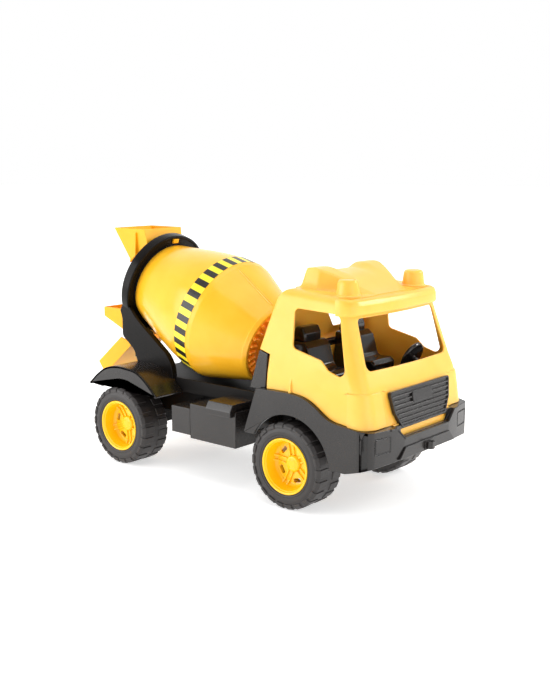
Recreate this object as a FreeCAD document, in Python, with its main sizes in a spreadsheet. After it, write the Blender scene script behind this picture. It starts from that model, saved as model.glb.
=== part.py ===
"""Toy cement mixer truck for the sand box: black chassis and fenders, yellow cab, turning drum.

Frame: +X is the front of the truck, +Y its left side, +Z up; the origin is on the ground under the
middle of the truck. Every size is a named cell of the sheet, in millimetres and degrees.
"""
import FreeCAD, Part
import os
import re
import Sketcher
from FreeCAD import Placement, Rotation, Vector

SIZES = {
    # how far a cutting block reaches past what it cuts, and a small reach at an edge
    "over": 5.0, "edge_over": 1.0, "deep_over": 15.0,
    # wheels and axles
    "front_axle_x": 141.0, "rear_axle_x": -136.4, "tyre_radius": 50.0, "tyre_width": 44.0,
    "tyre_inner_y": 67.0, "tyre_shoulder": 5.0, "rim_radius": 32.45, "bead_radius": 29.5,
    "rim_lip": 43.0, "rim_disc_low": 22.0, "rim_disc_high": 25.0, "hub_radius": 8.0,
    "hub_inner_reach": 6.0, "spoke_hole": 4.5, "spoke_ring": 20.0, "spoke_count": 5,
    "axle_radius": 3.0, "running_gap": 0.08, "axle_end": 27.5, "bracket_bore": 3.05,
    "cap_radius": 9.8, "cap_bore": 8.0, "cap_top": 29.5, "cap_roof": 1.5,
    "cap_edge_low": 27.5, "cap_flat_radius": 6.8, "shoulder_drop": 4.0, "tyre_gap": 0.05,
    "dish_radius": 27.5, "rim_low": 1.0, "washer_gap": 0.01,
    "washer_radius": 6.5, "washer_low": 25.3, "washer_high": 26.3,
    # chassis
    "chassis_rear": -190.0, "channel_front": 228.0, "channel_half": 42.0, "channel_low": 62.0,
    "deck_low": 98.0, "deck_high": 101.5, "deck_half": 58.0, "deck_front": 80.0,
    "chassis_wall": 3.0, "rail_low": 96.0, "rail_high": 113.0, "rail_rear": -83.0, "rail_wall": 3.5,
    "bracket_half": 9.0, "bracket_low": 42.0, "post_radius": 5.0, "post_rear_x": 108.0,
    "post_front_x": 154.0, "post_y": 25.0, "screw_radius": 1.5, "screw_head": 3.5,
    "screw_head_high": 2.4, "screw_tip": 130.0, "pilot_radius": 1.55,
    # front fender and bumper
    "fender_half": 104.0, "fender_wall": 4.5, "fender_floor": 55.5, "fender_ceiling": 127.0,
    "fender_high": 135.0, "arch_radius": 57.5, "bumper_cavity": 66.0, "bumper_inner": 249.5,
    "fender_cavity_front": 238.0, "lamp_inner_y": 71.0, "lamp_outer_y": 96.0, "lamp_low": 80.5,
    "lamp_high": 95.0, "lamp_back": 246.5, "eye_x": 262.9, "eye_radius": 4.3, "eye_bore": 1.9,
    "eye_low": 70.0, "eye_high": 78.0, "eye_base_low": 69.0, "eye_base_high": 80.0,
    "eye_base_half": 8.0, "eye_base_thick": 1.0, "fender_bend_x": 240.0, "bumper_corner_x": 247.0,
    "bumper_corner_y": 100.0, "brow_half": 69.0, "chin_half": 59.0, "chin_x": 259.5,
    "foot_cut_front": 96.0, "nose_cavity_high": 83.5, "notch_low": 91.5, "notch_high": 104.6,
    "notch_foot_half": 46.0, "notch_top_half": 59.0, "notch_rear": 238.5, "slide_gap": 0.3,
    # rear mudguards
    "guard_inner_y": 58.0, "guard_outer_y": 106.0, "guard_wall": 3.6, "valance_wall": 3.0,
    "guard_web": 2.5, "web_rear": -150.0, "web_front": -84.0,
    # boxes and steps between the axles
    "box_outer_y": 98.0, "small_box_rear": -50.0, "small_box_low": 55.5, "small_box_high": 89.0,
    "big_box_rear": -18.0, "big_box_front": 57.0, "big_box_low": 52.0, "big_box_high": 95.5,
    "box_wall": 2.5, "step_rear": 15.0, "step_front": 55.0, "step_low": 90.0, "step_edge": 97.0,
    "step_high": 105.0, "step_outer_y": 105.0, "step_top_y": 100.0, "step_gap": 0.4,
    # cab
    "cab_half": 99.0, "cab_roof_half": 88.0, "cab_wall": 2.5, "cab_belt": 150.0, "cab_peak": 250.0,
    "cab_base": 100.0, "glass_half_low": 80.0, "glass_half_high": 74.0, "glass_low": 163.5,
    "glass_high": 220.0, "window_round": 5.0, "rear_window_left": 62.0, "rear_window_right": 17.0,
    "rear_window_corner": 37.0, "rear_window_low": 187.0, "rear_window_knee": 207.0,
    "rear_window_high": 226.0, "corner_round": 14.0,
    "beacon_x": 193.0, "beacon_y": 65.0, "beacon_radius": 13.0, "beacon_top_radius": 10.85,
    "beacon_base": 238.0, "beacon_top": 260.0,
    "hump_outer": 66.0, "hump_crest_outer": 60.0, "hump_crest_inner": 33.0, "hump_front_half": 34.0,
    "valley_half": 17.0, "valley_z": 262.5, "hump_crest_z": 272.0, "hump_base_z": 236.0,
    "grille_top_half": 60.0, "grille_knee_half": 56.0, "grille_knee_z": 118.0,
    "grille_foot_half": 45.0,
    "apron_low": 92.0, "apron_foot_half": 45.0, "apron_top_half": 58.0, "apron_rear": 247.9,
    "apron_front": 250.4,
    # cab interior and bulkhead
    "bulkhead_half": 95.0, "interior_half": 94.0, "floor_low": 132.6, "floor_high": 134.5,
    "floor_rear": 104.6, "floor_front": 232.0, "seat_inner_y": 22.0, "seat_outer_y": 66.0,
    "headrest_inner_y": 28.0, "headrest_outer_y": 62.0, "dash_half": 80.0,
    "steer_x": 206.0, "steer_y": 45.0, "steer_z": 160.0, "steer_radius": 20.0, "steer_half": 2.5,
    "steer_rake": 25.0, "steer_face_radius": 18.0, "column_radius": 3.0, "column_reach": 14.0,
    # drum, along its own axis: stations run from the mouth (negative) to the cab
    "drum_x": -9.0, "drum_z": 174.4, "drum_tilt": 18.0, "drum_wall": 2.2,
    "neck_station": -165.4, "neck_radius": 51.0, "neck_bore": 46.08, "neck_inner_end": -152.0,
    "neck_end": -154.8,
    "shoulder_station": -154.2, "shoulder_radius": 56.0, "throat_station": -150.0,
    "throat_radius": 57.0, "mid_station": -120.0, "mid_radius": 64.5, "belly_station": -80.0,
    "belly_radius": 74.5, "split_station": -42.0, "split_radius": 79.65, "band_rear": -52.0,
    "band_rear_radius": 79.3, "band_front": -32.0, "band_front_radius": 80.0, "band_thick": 0.35,
    "turn_station": -25.0, "turn_radius": 78.6, "nose_station": 44.8, "nose_radius": 48.9,
    "cap_disc_radius": 46.6, "cap_disc_station": 42.0, "tooth_inner": 36.0, "tooth_outer": 46.0,
    "tooth_high": 3.0, "tooth_count": 30, "tooth_wide": 4.4, "pin_radius": 6.0, "pin_end": 76.0,
    "bearing_near": 50.0, "bearing_far": 95.97, "bearing_near_radius": 13.0,
    "bearing_far_radius": 16.0, "bearing_depth": 78.0,
    # cradle ring, mouth bush
    "ring_rear": -169.1, "ring_front": -154.8, "ring_radius": 68.7, "ring_bore": 52.0,
    "mouth_radius": 43.0, "bush_radius": 46.0, "bush_end": -152.5, "bush_flange_front": -166.0,
    "bush_flange_radius": 51.95, "leg_inner_y": 57.0, "leg_outer_y": 62.0, "foot_inner_y": 54.5,
    "foot_high": 130.0,
    # hopper, collector and chute
    "hopper_rim_half": 34.0, "hopper_foot_half": 28.0, "hopper_wall": 2.0, "hopper_top": 297.0,
    "hopper_foot_z": 225.0, "collector_half": 30.0, "outlet_half": 20.0, "collector_wall": 2.0,
    "collector_top": 186.0, "collector_taper_z": 173.0, "outlet_z": 147.0, "seat_gap": 0.02,
    "chute_half": 30.0, "chute_wall": 2.5, "pivot_x": -198.0, "boss_radius": 9.0, "boss_low": 123.3,
    "boss_high": 139.0, "chute_pin_radius": 4.0, "chute_pin_top": 134.0, "pin_head_radius": 7.5,
    "pin_head_low": 114.4, "pin_head_high": 117.7, "bracket_plate_low": 118.0,
    "bracket_plate_high": 123.0, "chute_bracket_half": 14.0, "bracket_bolster_front": -176.0,
    "bracket_bolster_rear": -189.0, "bracket_plate_rear": -208.0,
}

# Named corners of the side outlines, as (X, Z).
SPOTS = {
    "fender_rear_foot": (75.0, 77.5), "fender_top_rear": (94.4, 131.0), "fender_crown": (123.0, 132.5),
    "fender_shoulder": (154.5, 132.0), "fender_slope": (176.0, 124.2), "fender_dip": (195.0, 112.0),
    "fender_bed": (205.0, 108.6), "bumper_top_rear": (237.0, 105.0), "bumper_top_front": (262.0, 103.6),
    "bumper_chin": (220.0, 56.0), "bumper_lip": (257.0, 66.0), "bumper_lip_front": (264.0, 68.5),
    "ceiling_rear": (99.2, 127.0), "ceiling_front": (160.0, 127.0), "ceiling_slope": (173.5, 119.5),
    "ceiling_dip": (192.6, 107.5), "ceiling_bed": (203.5, 103.9), "ceiling_end": (235.0, 100.3),
    "guard_tail": (-196.0, 98.4), "guard_knee": (-164.5, 122.0), "guard_crown_rear": (-145.0, 126.5),
    "guard_crown_front": (-104.0, 124.0), "guard_toe": (-69.0, 96.5), "valance_toe": (-92.5, 97.3),
    "valance_front": (-115.0, 108.0), "valance_rear": (-144.0, 109.3), "valance_heel": (-168.6, 97.2),
    "web_top_rear": (-150.0, 125.3), "web_top_front": (-84.0, 108.2), "leg_ring_rear": (-182.0, 190.0),
    "leg_back": (-178.0, 180.0), "leg_back_low": (-179.0, 156.0), "leg_waist": (-163.0, 146.0),
    "leg_heel": (-152.0, 134.0), "leg_heel_foot": (-150.0, 125.4), "leg_toe_foot": (-84.0, 108.4),
    "leg_toe": (-83.0, 118.0), "leg_toe_top": (-88.0, 139.0), "leg_front": (-102.0, 151.5),
    "leg_front_mid": (-114.6, 162.0), "leg_front_top": (-146.0, 184.0), "leg_ring_front": (-164.5, 196.5),
    "leg_in_ring": (-170.0, 203.0), "leg_in_ring_rear": (-177.0, 200.0), "cab_foot_rear": (103.3, 131.5),
    "cab_waist_rear": (106.5, 171.8), "cab_ledge": (91.4, 176.0), "cab_shoulder": (110.4, 232.0),
    "roof_rear": (119.4, 247.0), "roof_front": (219.0, 240.0), "visor_top": (221.5, 238.0),
    "visor_low": (221.5, 222.0), "glass_head": (216.6, 221.0), "glass_foot": (236.0, 163.0),
    "cab_nose": (244.6, 141.0), "cab_foot_front": (250.6, 104.3), "lining_rear_low": (95.0, 100.0),
    "lining_rear": (95.0, 170.0), "lining_lip": (106.9, 171.9), "lining_lip_top": (106.9, 174.3),
    "lining_ledge": (94.3, 178.1), "lining_shoulder": (112.6, 231.4), "lining_roof_rear": (121.0, 244.4),
    "lining_roof_front": (212.5, 237.9), "lining_glass_head": (214.2, 221.0),
    "lining_glass_foot": (233.4, 162.5), "lining_nose": (242.1, 140.6), "lining_foot_front": (248.4, 100.0),
    "window_top_rear": (139.7, 226.5), "window_top_front": (200.3, 224.3),
    "window_front_low": (213.8, 163.5), "window_corner": (207.2, 158.6),
    "window_sill_front": (191.1, 163.6), "window_sill_mid": (180.5, 173.5),
    "window_sill_rear": (140.8, 182.5), "hump_rear": (124.0, 236.0), "hump_rear_crest": (130.0, 270.0),
    "hump_front_crest": (150.0, 272.0), "hump_front": (208.0, 242.0), "hump_front_low": (208.0, 236.0),
    "grille_top_back": (243.0, 141.0), "grille_top_front": (247.5, 141.0),
    "grille_foot_front": (253.6, 101.0), "grille_foot_back": (249.0, 101.0),
    "bulkhead_foot": (77.22, 129.0), "bulkhead_foot_front": (93.4, 129.0), "bulkhead_seat": (94.2, 131.2),
    "bulkhead_front_foot": (100.4, 131.5), "bulkhead_front_top": (104.0, 171.4),
    "bulkhead_top": (92.04, 174.6), "seat_rear_foot": (108.0, 134.5), "seat_front_foot": (168.0, 134.5),
    "seat_front": (170.5, 149.0), "cushion_front": (166.0, 152.5), "cushion_rear": (144.0, 153.0),
    "seat_shoulder": (137.0, 180.0), "seat_top": (131.0, 184.0), "seat_back": (112.0, 184.0),
    "headrest_rear": (111.0, 184.0), "headrest_top_rear": (113.5, 200.0),
    "headrest_top_front": (126.0, 200.0), "headrest_front": (130.0, 184.0), "dash_foot": (214.0, 134.5),
    "dash_edge": (214.0, 157.0), "dash_crown": (221.0, 161.0), "dash_front": (231.0, 160.0),
    "dash_nose": (238.0, 142.0), "dash_front_foot": (235.0, 134.5), "hopper_rim_rear": (-221.0, 297.0),
    "hopper_rim_front": (-162.0, 297.0), "hopper_knee": (-194.0, 254.5),
    "hopper_rear_foot": (-175.0, 225.0), "bowl_rim_rear": (-218.8, 299.0),
    "bowl_rim_front": (-164.2, 299.0), "bowl_front_foot": (-158.9, 268.5),
    "bowl_mouth_high": (-150.0, 262.0), "bowl_mouth_low": (-150.0, 215.0),
    "bowl_rear_foot": (-169.0, 218.4), "bowl_knee": (-192.3, 253.6), "collector_rim_rear": (-252.0, 186.0),
    "collector_lip": (-252.0, 173.0), "collector_knee": (-216.0, 153.2), "outlet_rear": (-210.0, 147.0),
    "tray_rim_rear": (-250.0, 188.0), "tray_rim_front": (-184.9, 188.0),
    "tray_outlet_front": (-198.2, 146.0), "tray_outlet_rear": (-208.4, 146.0), "tray_knee": (-215.2, 154.4),
    "tray_lip": (-250.0, 174.3), "chute_head_low": (-195.0, 139.7), "chute_head_high": (-219.0, 146.5),
    "chute_end_high": (-267.2, 106.7), "chute_end_low": (-254.0, 90.0), "gutter_head": (-185.1, 151.3),
    "gutter_end": (-267.1, 82.2), "gutter_above_end": (-290.0, 110.0), "gutter_above_head": (-220.0, 168.0),
}

CELLS = dict(SIZES)
for spot_name, (spot_x, spot_z) in SPOTS.items():
    CELLS[spot_name + "_x"] = spot_x
    CELLS[spot_name + "_z"] = spot_z

DOC = FreeCAD.newDocument("cement_mixer")


def fill_sheet():
    """Put every driving size into the sheet, one named cell each."""
    sheet = DOC.addObject("Spreadsheet::Sheet", "Dims")
    for row, (name, value) in enumerate(CELLS.items(), start=1):
        sheet.set(f"A{row}", name)
        sheet.set(f"B{row}", str(value))
        sheet.setAlias(f"B{row}", name)
    DOC.recompute()
    return sheet


SHEET = fill_sheet()
NODES = []


def bind(formula):
    """Turn names of cells inside a formula into references to the sheet."""
    def refer(found):
        word = found.group(0)
        return "Dims." + word if word in CELLS else word
    return re.sub(r"[a-z][a-z_0-9]*", refer, str(formula))


def spot(place):
    """Give the two formulas of a place: a named spot, or a pair of formulas as it stands."""
    if isinstance(place, str):
        return place + "_x", place + "_z"
    return place


def on_side(side, inner, outer):
    """Give the low and high Y of a piece between two distances from the middle plane."""
    if side > 0:
        return inner, outer
    return f"-({outer})", f"-({inner})"


class Piece:
    """One moulded or turned piece: a body that grows feature by feature."""

    def __init__(self, name):
        self.body = DOC.addObject("PartDesign::Body", name)
        self.body.Label = name

    def sketch(self, plane, offset):
        """Add an empty sketch parallel to one of the body's own origin planes."""
        sketch = self.body.newObject("Sketcher::SketchObject", self.body.Name + "_outline")
        origin_plane = [f for f in self.body.Origin.OriginFeatures if f.Role == plane + "_Plane"][0]
        sketch.AttachmentSupport = [(origin_plane, "")]
        sketch.MapMode = "FlatFace"
        sketch.setExpression("AttachmentOffset.Base.z", bind(offset))
        return sketch

    def outline(self, plane, places, offset="0"):
        """Draw a closed outline whose corners follow the sheet."""
        sketch = self.sketch(plane, offset)
        formulas = [[bind(part) for part in spot(place)] for place in places]
        corners = [Vector(*(float(sketch.evalExpression(part)) for part in pair)) for pair in formulas]
        count = len(corners)
        for i in range(count):
            sketch.addGeometry(Part.LineSegment(corners[i], corners[(i + 1) % count]))
        for i in range(count):
            sketch.addConstraint(Sketcher.Constraint("Coincident", i, 2, (i + 1) % count, 1))
        for i, pair in enumerate(formulas):
            for kind, formula, value in zip(("DistanceX", "DistanceY"), pair, corners[i]):
                index = sketch.addConstraint(Sketcher.Constraint(kind, -1, 1, i, 1, value))
                sketch.setExpression(f"Constraints[{index}]", formula)
        return sketch

    def circles(self, plane, centres, radius, offset="0"):
        """Draw circles of one radius around places that follow the sheet."""
        sketch = self.sketch(plane, offset)
        size = float(sketch.evalExpression(bind(radius)))
        for i, centre in enumerate(centres):
            formulas = [bind(part) for part in spot(centre)]
            middle = Vector(*(float(sketch.evalExpression(part)) for part in formulas))
            sketch.addGeometry(Part.Circle(middle, Vector(0, 0, 1), size))
            index = sketch.addConstraint(Sketcher.Constraint("Radius", i, size))
            sketch.setExpression(f"Constraints[{index}]", bind(radius))
            for kind, formula, value in zip(("DistanceX", "DistanceY"), formulas, middle):
                index = sketch.addConstraint(Sketcher.Constraint(kind, -1, 1, i, 3, value))
                sketch.setExpression(f"Constraints[{index}]", formula)
        return sketch

    def start_of(self, plane, low, high):
        """Give the sketch offset of a layer: the XZ plane looks along -Y, the others look along +."""
        return f"-({high})" if plane == "XZ" else low

    def grow(self, kind, sketch, low, high):
        """Make a pad or a pocket of the sketch that fills the layer between low and high."""
        feature = self.body.newObject("PartDesign::" + kind, self.body.Name + "_" + kind.lower())
        feature.Profile = sketch
        feature.setExpression("Length", bind(f"({high}) - ({low})"))
        before = self.body.Shape.Volume if kind == "Pocket" else 0.0
        if kind == "Pocket":
            feature.Reversed = True
        DOC.recompute()
        change = feature.Shape.Volume - before
        if (kind == "Pad" and change <= 0) or (kind == "Pocket" and change > -1e-3):
            raise RuntimeError(f"{feature.Name} changed nothing")
        return self

    def pad(self, plane, places, low, high):
        """Add a prism of an outline between two heights along the plane's axis."""
        sketch = self.outline(plane, places, self.start_of(plane, low, high))
        return self.grow("Pad", sketch, low, high)

    def pocket(self, plane, places, low, high):
        """Cut a prism of an outline between two heights along the plane's axis."""
        sketch = self.outline(plane, places, self.start_of(plane, low, high))
        return self.grow("Pocket", sketch, low, high)

    def pad_round(self, plane, centres, radius, low, high):
        """Add round bars around the centres between two heights."""
        sketch = self.circles(plane, centres, radius, self.start_of(plane, low, high))
        return self.grow("Pad", sketch, low, high)

    def drill(self, plane, centres, radius, low, high):
        """Cut round holes around the centres between two heights."""
        sketch = self.circles(plane, centres, radius, self.start_of(plane, low, high))
        return self.grow("Pocket", sketch, low, high)

    def turn(self, places):
        """Revolve an outline of (radius, height) places about the body's Z axis."""
        sketch = self.outline("XZ", places)
        feature = self.body.newObject("PartDesign::Revolution", self.body.Name + "_turned")
        feature.Profile = sketch
        feature.ReferenceAxis = (sketch, ["V_Axis"])
        feature.Angle = 360
        DOC.recompute()
        return self

    def repeat_round(self, count):
        """Repeat the last feature evenly about the body's Z axis."""
        last = self.body.Tip
        pattern = self.body.newObject("PartDesign::PolarPattern", self.body.Name + "_repeat")
        pattern.Originals = [last]
        pattern.Axis = (last.Profile[0], ["N_Axis"])
        pattern.Angle = 360
        pattern.setExpression("Occurrences", bind(count))
        self.body.Tip = pattern
        DOC.recompute()
        return self

    def round_edges(self, radius, chosen):
        """Round the edges that the test picks out."""
        base = self.body.Tip
        names = [f"Edge{i}" for i, edge in enumerate(base.Shape.Edges, start=1) if chosen(edge)]
        feature = self.body.newObject("PartDesign::Fillet", self.body.Name + "_round")
        feature.Base = (base, names)
        feature.setExpression("Radius", bind(radius))
        DOC.recompute()
        return self

    def place(self, x="0", y="0", z="0", turn=None):
        """Set the body down at a place that follows the sheet, turned first."""
        if turn:
            self.body.Placement = Placement(Vector(), turn)
        for axis, formula in zip("xyz", (x, y, z)):
            self.body.setExpression(f"Placement.Base.{axis}", bind(formula))
        return self

    def along_drum(self):
        """Lay the body's Z axis along the drum's axis, pointing at the cab."""
        lean = Rotation(Vector(0, 1, 0), 90.0 + SHEET.get("drum_tilt"))
        return self.place("drum_x", "0", "drum_z", lean)

    def keep(self):
        """Hand the piece in as a node of its own."""
        NODES.append(self.body)
        return self.body


def rectangle(left, right, low, high):
    """Give the four corners of a rectangle."""
    return [(left, low), (right, low), (right, high), (left, high)]


def combine(kind, name, *objects):
    """Make one Part boolean of whole pieces: MultiFuse, MultiCommon or Cut."""
    result = DOC.addObject("Part::" + kind, name)
    if kind == "Cut":
        result.Base, result.Tool = objects
    else:
        result.Shapes = list(objects)
    result.Label = name
    DOC.recompute()
    return result


def crossed(name, side_places, side_half, front_places, rear, front):
    """Make the solid that shows one outline from the side and another from the front."""
    side = Piece(name + "_side").pad("XZ", side_places, f"-({side_half})", side_half)
    face = Piece(name + "_face").pad("YZ", front_places, rear, front)
    return combine("MultiCommon", name, side.body, face.body)


def mirrored_outline(half_places):
    """Complete a front outline from the (Y, Z) places of its left half."""
    return list(half_places) + [(f"-({y})", z) for y, z in reversed(half_places)]


def is_upright(edge, axis, length):
    """Tell whether an edge runs along an axis for the whole length."""
    spans = (edge.BoundBox.XLength, edge.BoundBox.YLength, edge.BoundBox.ZLength)
    return abs(spans[axis] - length) < 0.01 and sum(spans) - spans[axis] < 0.01


def make_chassis():
    """Build the black chassis: a channel with a deck, side rails, axle brackets and cab posts."""
    piece = Piece("chassis_frame")
    half = "channel_half"
    piece.pad("XY", rectangle("chassis_rear", "channel_front", f"-{half}", half), "channel_low", "deck_low")
    inner = "channel_half - chassis_wall"
    piece.pocket("XY", rectangle("chassis_rear + chassis_wall", "channel_front - chassis_wall",
                                 f"-({inner})", inner), "channel_low", "deck_low - chassis_wall")
    piece.pad("XY", rectangle("chassis_rear", "deck_front", "-deck_half", "deck_half"),
              "deck_low", "deck_high")
    for side in (-1, 1):
        low, high = on_side(side, "deck_half - rail_wall", "deck_half")
        piece.pad("XZ", rectangle("rail_rear", "deck_front", "rail_low", "rail_high"), low, high)
    for axle in ("front_axle_x", "rear_axle_x"):
        block = rectangle(f"{axle} - bracket_half", f"{axle} + bracket_half", "bracket_low", "deck_low")
        piece.pad("XZ", block, "-deck_half", "deck_half")
    posts = [(x, y) for x in ("post_rear_x", "post_front_x") for y in ("-post_y", "post_y")]
    piece.pad_round("XY", posts, "post_radius", "deck_low", "fender_ceiling")
    axles = [("front_axle_x", "tyre_radius"), ("rear_axle_x", "tyre_radius")]
    piece.drill("XZ", axles, "bracket_bore", "-deck_half", "deck_half")
    piece.drill("XY", posts, "pilot_radius", "channel_low + chassis_wall", "fender_ceiling")
    piece.keep()
    return posts


def make_screws(posts):
    """Build the four self-tapping screws that hold the fender and cab on the posts."""
    screws = []
    for number, (x, y) in enumerate(posts, start=1):
        screw = Piece(f"screw_{number}")
        screw.pad_round("XY", [(x, y)], "screw_radius", "deck_low - chassis_wall", "screw_tip")
        screw.pad_round("XY", [(x, y)], "screw_head", "deck_low - chassis_wall - screw_head_high",
                        "deck_low - chassis_wall")
        screws.append(screw.body)
    NODES.append(combine("MultiFuse", "chassis_screws", *screws))


def make_fender(posts):
    """Build the one-piece front fender and bumper that the cab stands on."""
    piece = Piece("front_fender")
    left = [("fender_rear_foot_x", "fender_half"), ("fender_bend_x", "fender_half"),
            ("bumper_corner_x", "bumper_corner_y"), ("bumper_inner + fender_wall", "brow_half"),
            ("bumper_inner + fender_wall", "chin_half"),
            ("chin_x", "grille_foot_half")]
    plan = left + [(x, f"-({y})") for x, y in reversed(left)]
    piece.pad("XY", plan, "fender_floor", "fender_high")
    top = ["fender_top_rear", "fender_crown", "fender_shoulder", "fender_slope", "fender_dip", "fender_bed",
           "bumper_top_rear", "bumper_top_front"]
    above = top + [("bumper_top_front_x", "fender_high + over"),
                   ("fender_rear_foot_x - over", "fender_high + over"),
                   ("fender_rear_foot_x - over", "fender_rear_foot_z"), "fender_rear_foot"]
    piece.pocket("XZ", above, "-fender_half - edge_over", "fender_half + edge_over")
    below = ["bumper_chin", "bumper_lip", "bumper_lip_front", ("bumper_lip_front_x", "fender_floor - over"),
             ("bumper_chin_x", "fender_floor - over")]
    piece.pocket("XZ", below, "-fender_half - edge_over", "fender_half + edge_over")
    behind = rectangle("fender_rear_foot_x - over", "foot_cut_front",
                       "fender_floor - over", "fender_rear_foot_z")
    piece.pocket("XZ", behind, "-fender_half - edge_over", "fender_half + edge_over")
    piece.drill("XZ", [("front_axle_x", "tyre_radius")], "arch_radius",
                "-fender_half - edge_over", "fender_half + edge_over")
    cavity = ["ceiling_rear", "ceiling_front", "ceiling_slope", "ceiling_dip", "ceiling_bed", "ceiling_end",
              ("fender_cavity_front", "ceiling_end_z"), ("fender_cavity_front", "fender_floor - over"),
              ("fender_rear_foot_x", "fender_floor - over"),
              ("fender_rear_foot_x + fender_wall", "fender_rear_foot_z")]
    inner = "fender_half - fender_wall"
    piece.pocket("XZ", cavity, f"-({inner})", inner)
    nose = rectangle("fender_cavity_front - edge_over", "bumper_inner", "fender_floor", "nose_cavity_high")
    piece.pocket("XZ", nose, "-bumper_cavity", "bumper_cavity")
    notch = [("notch_foot_half", "notch_low"), ("notch_top_half", "notch_high"),
             ("notch_top_half", "fender_high")]
    piece.pocket("YZ", mirrored_outline(notch), "notch_rear", "bumper_top_front_x")
    for side in (-1, 1):
        low, high = on_side(side, "lamp_inner_y", "lamp_outer_y")
        lamp = rectangle("lamp_back", "bumper_top_front_x", "lamp_low", "lamp_high")
        piece.pocket("XZ", lamp, low, high)
    gap = "channel_half + slide_gap"
    piece.pocket("XY", rectangle("fender_rear_foot_x - over", "ceiling_rear_x + edge_over", f"-({gap})", gap),
                 "fender_floor", "deck_low + slide_gap")
    piece.drill("XY", posts, "pilot_radius", "fender_ceiling", "screw_tip + slide_gap")
    piece.keep()


def make_tow_eye():
    """Build the towing eye under the bumper's middle, with its hole for a pull string."""
    piece = Piece("tow_eye")
    face = "chin_x"
    base = rectangle(face, f"{face} + eye_base_thick", "-eye_base_half", "eye_base_half")
    piece.pad("XY", base, "eye_base_low", "eye_base_high")
    tongue = rectangle(face, "eye_x", "-eye_radius", "eye_radius")
    piece.pad("XY", tongue, "eye_low", "eye_high")
    piece.pad_round("XY", [("eye_x", "0")], "eye_radius", "eye_low", "eye_high")
    piece.pocket("XY", rectangle(f"{face} - eye_radius", face, "-eye_radius", "eye_radius"),
                 "eye_low", "eye_high")
    piece.drill("XY", [("eye_x", "0")], "eye_bore", "eye_low", "eye_high")
    piece.keep()


def make_mudguard(side, hand):
    """Build one rear mudguard: an arched plate with an outer valance and an inner web."""
    piece = Piece(f"rear_mudguard_{hand}")
    crown = ["guard_tail", "guard_knee", "guard_crown_rear", "guard_crown_front", "guard_toe"]
    under = [(f"{name}_x", f"{name}_z - guard_wall") for name in reversed(crown)]
    piece.pad("XZ", crown + under, *on_side(side, "guard_inner_y", "guard_outer_y"))
    valance = crown + ["valance_toe", "valance_front", "valance_rear", "valance_heel"]
    piece.pad("XZ", valance, *on_side(side, "guard_outer_y - valance_wall", "guard_outer_y"))
    web = [("web_rear", "deck_low"), ("web_front", "deck_low"), "web_top_front", "guard_crown_front",
           "guard_crown_rear", "web_top_rear"]
    piece.pad("XZ", web, *on_side(side, "guard_inner_y", "guard_inner_y + guard_web"))
    piece.keep()


def make_boxes(side, hand):
    """Build the open-bottomed battery box, the tool box and the step plate of one side."""
    battery = ("battery_box", "small_box_rear", "big_box_rear", "small_box_low", "small_box_high")
    tools = ("tool_box", "big_box_rear", "big_box_front", "big_box_low", "big_box_high")
    for name, rear, front, low, high in (battery, tools):
        piece = Piece(f"{name}_{hand}")
        piece.pad("XZ", rectangle(rear, front, low, high), *on_side(side, "channel_half", "box_outer_y"))
        inside = rectangle(f"{rear} + box_wall", f"{front} - box_wall", low, f"{high} - box_wall")
        piece.pocket("XZ", inside, *on_side(side, "channel_half + box_wall", "box_outer_y - box_wall"))
        piece.keep()
    step = Piece(f"step_plate_{hand}")
    profile = [("deck_half", "big_box_high + step_gap"),
               ("box_outer_y + step_gap", "big_box_high + step_gap"),
               ("box_outer_y + step_gap", "step_low"), ("step_outer_y", "step_low"),
               ("step_outer_y", "step_edge"), ("step_top_y", "step_high"), ("deck_half", "step_high")]
    if side < 0:
        profile = [(f"-({y})", z) for y, z in profile]
    step.pad("YZ", profile, "step_rear", "step_front")
    step.keep()


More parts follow.
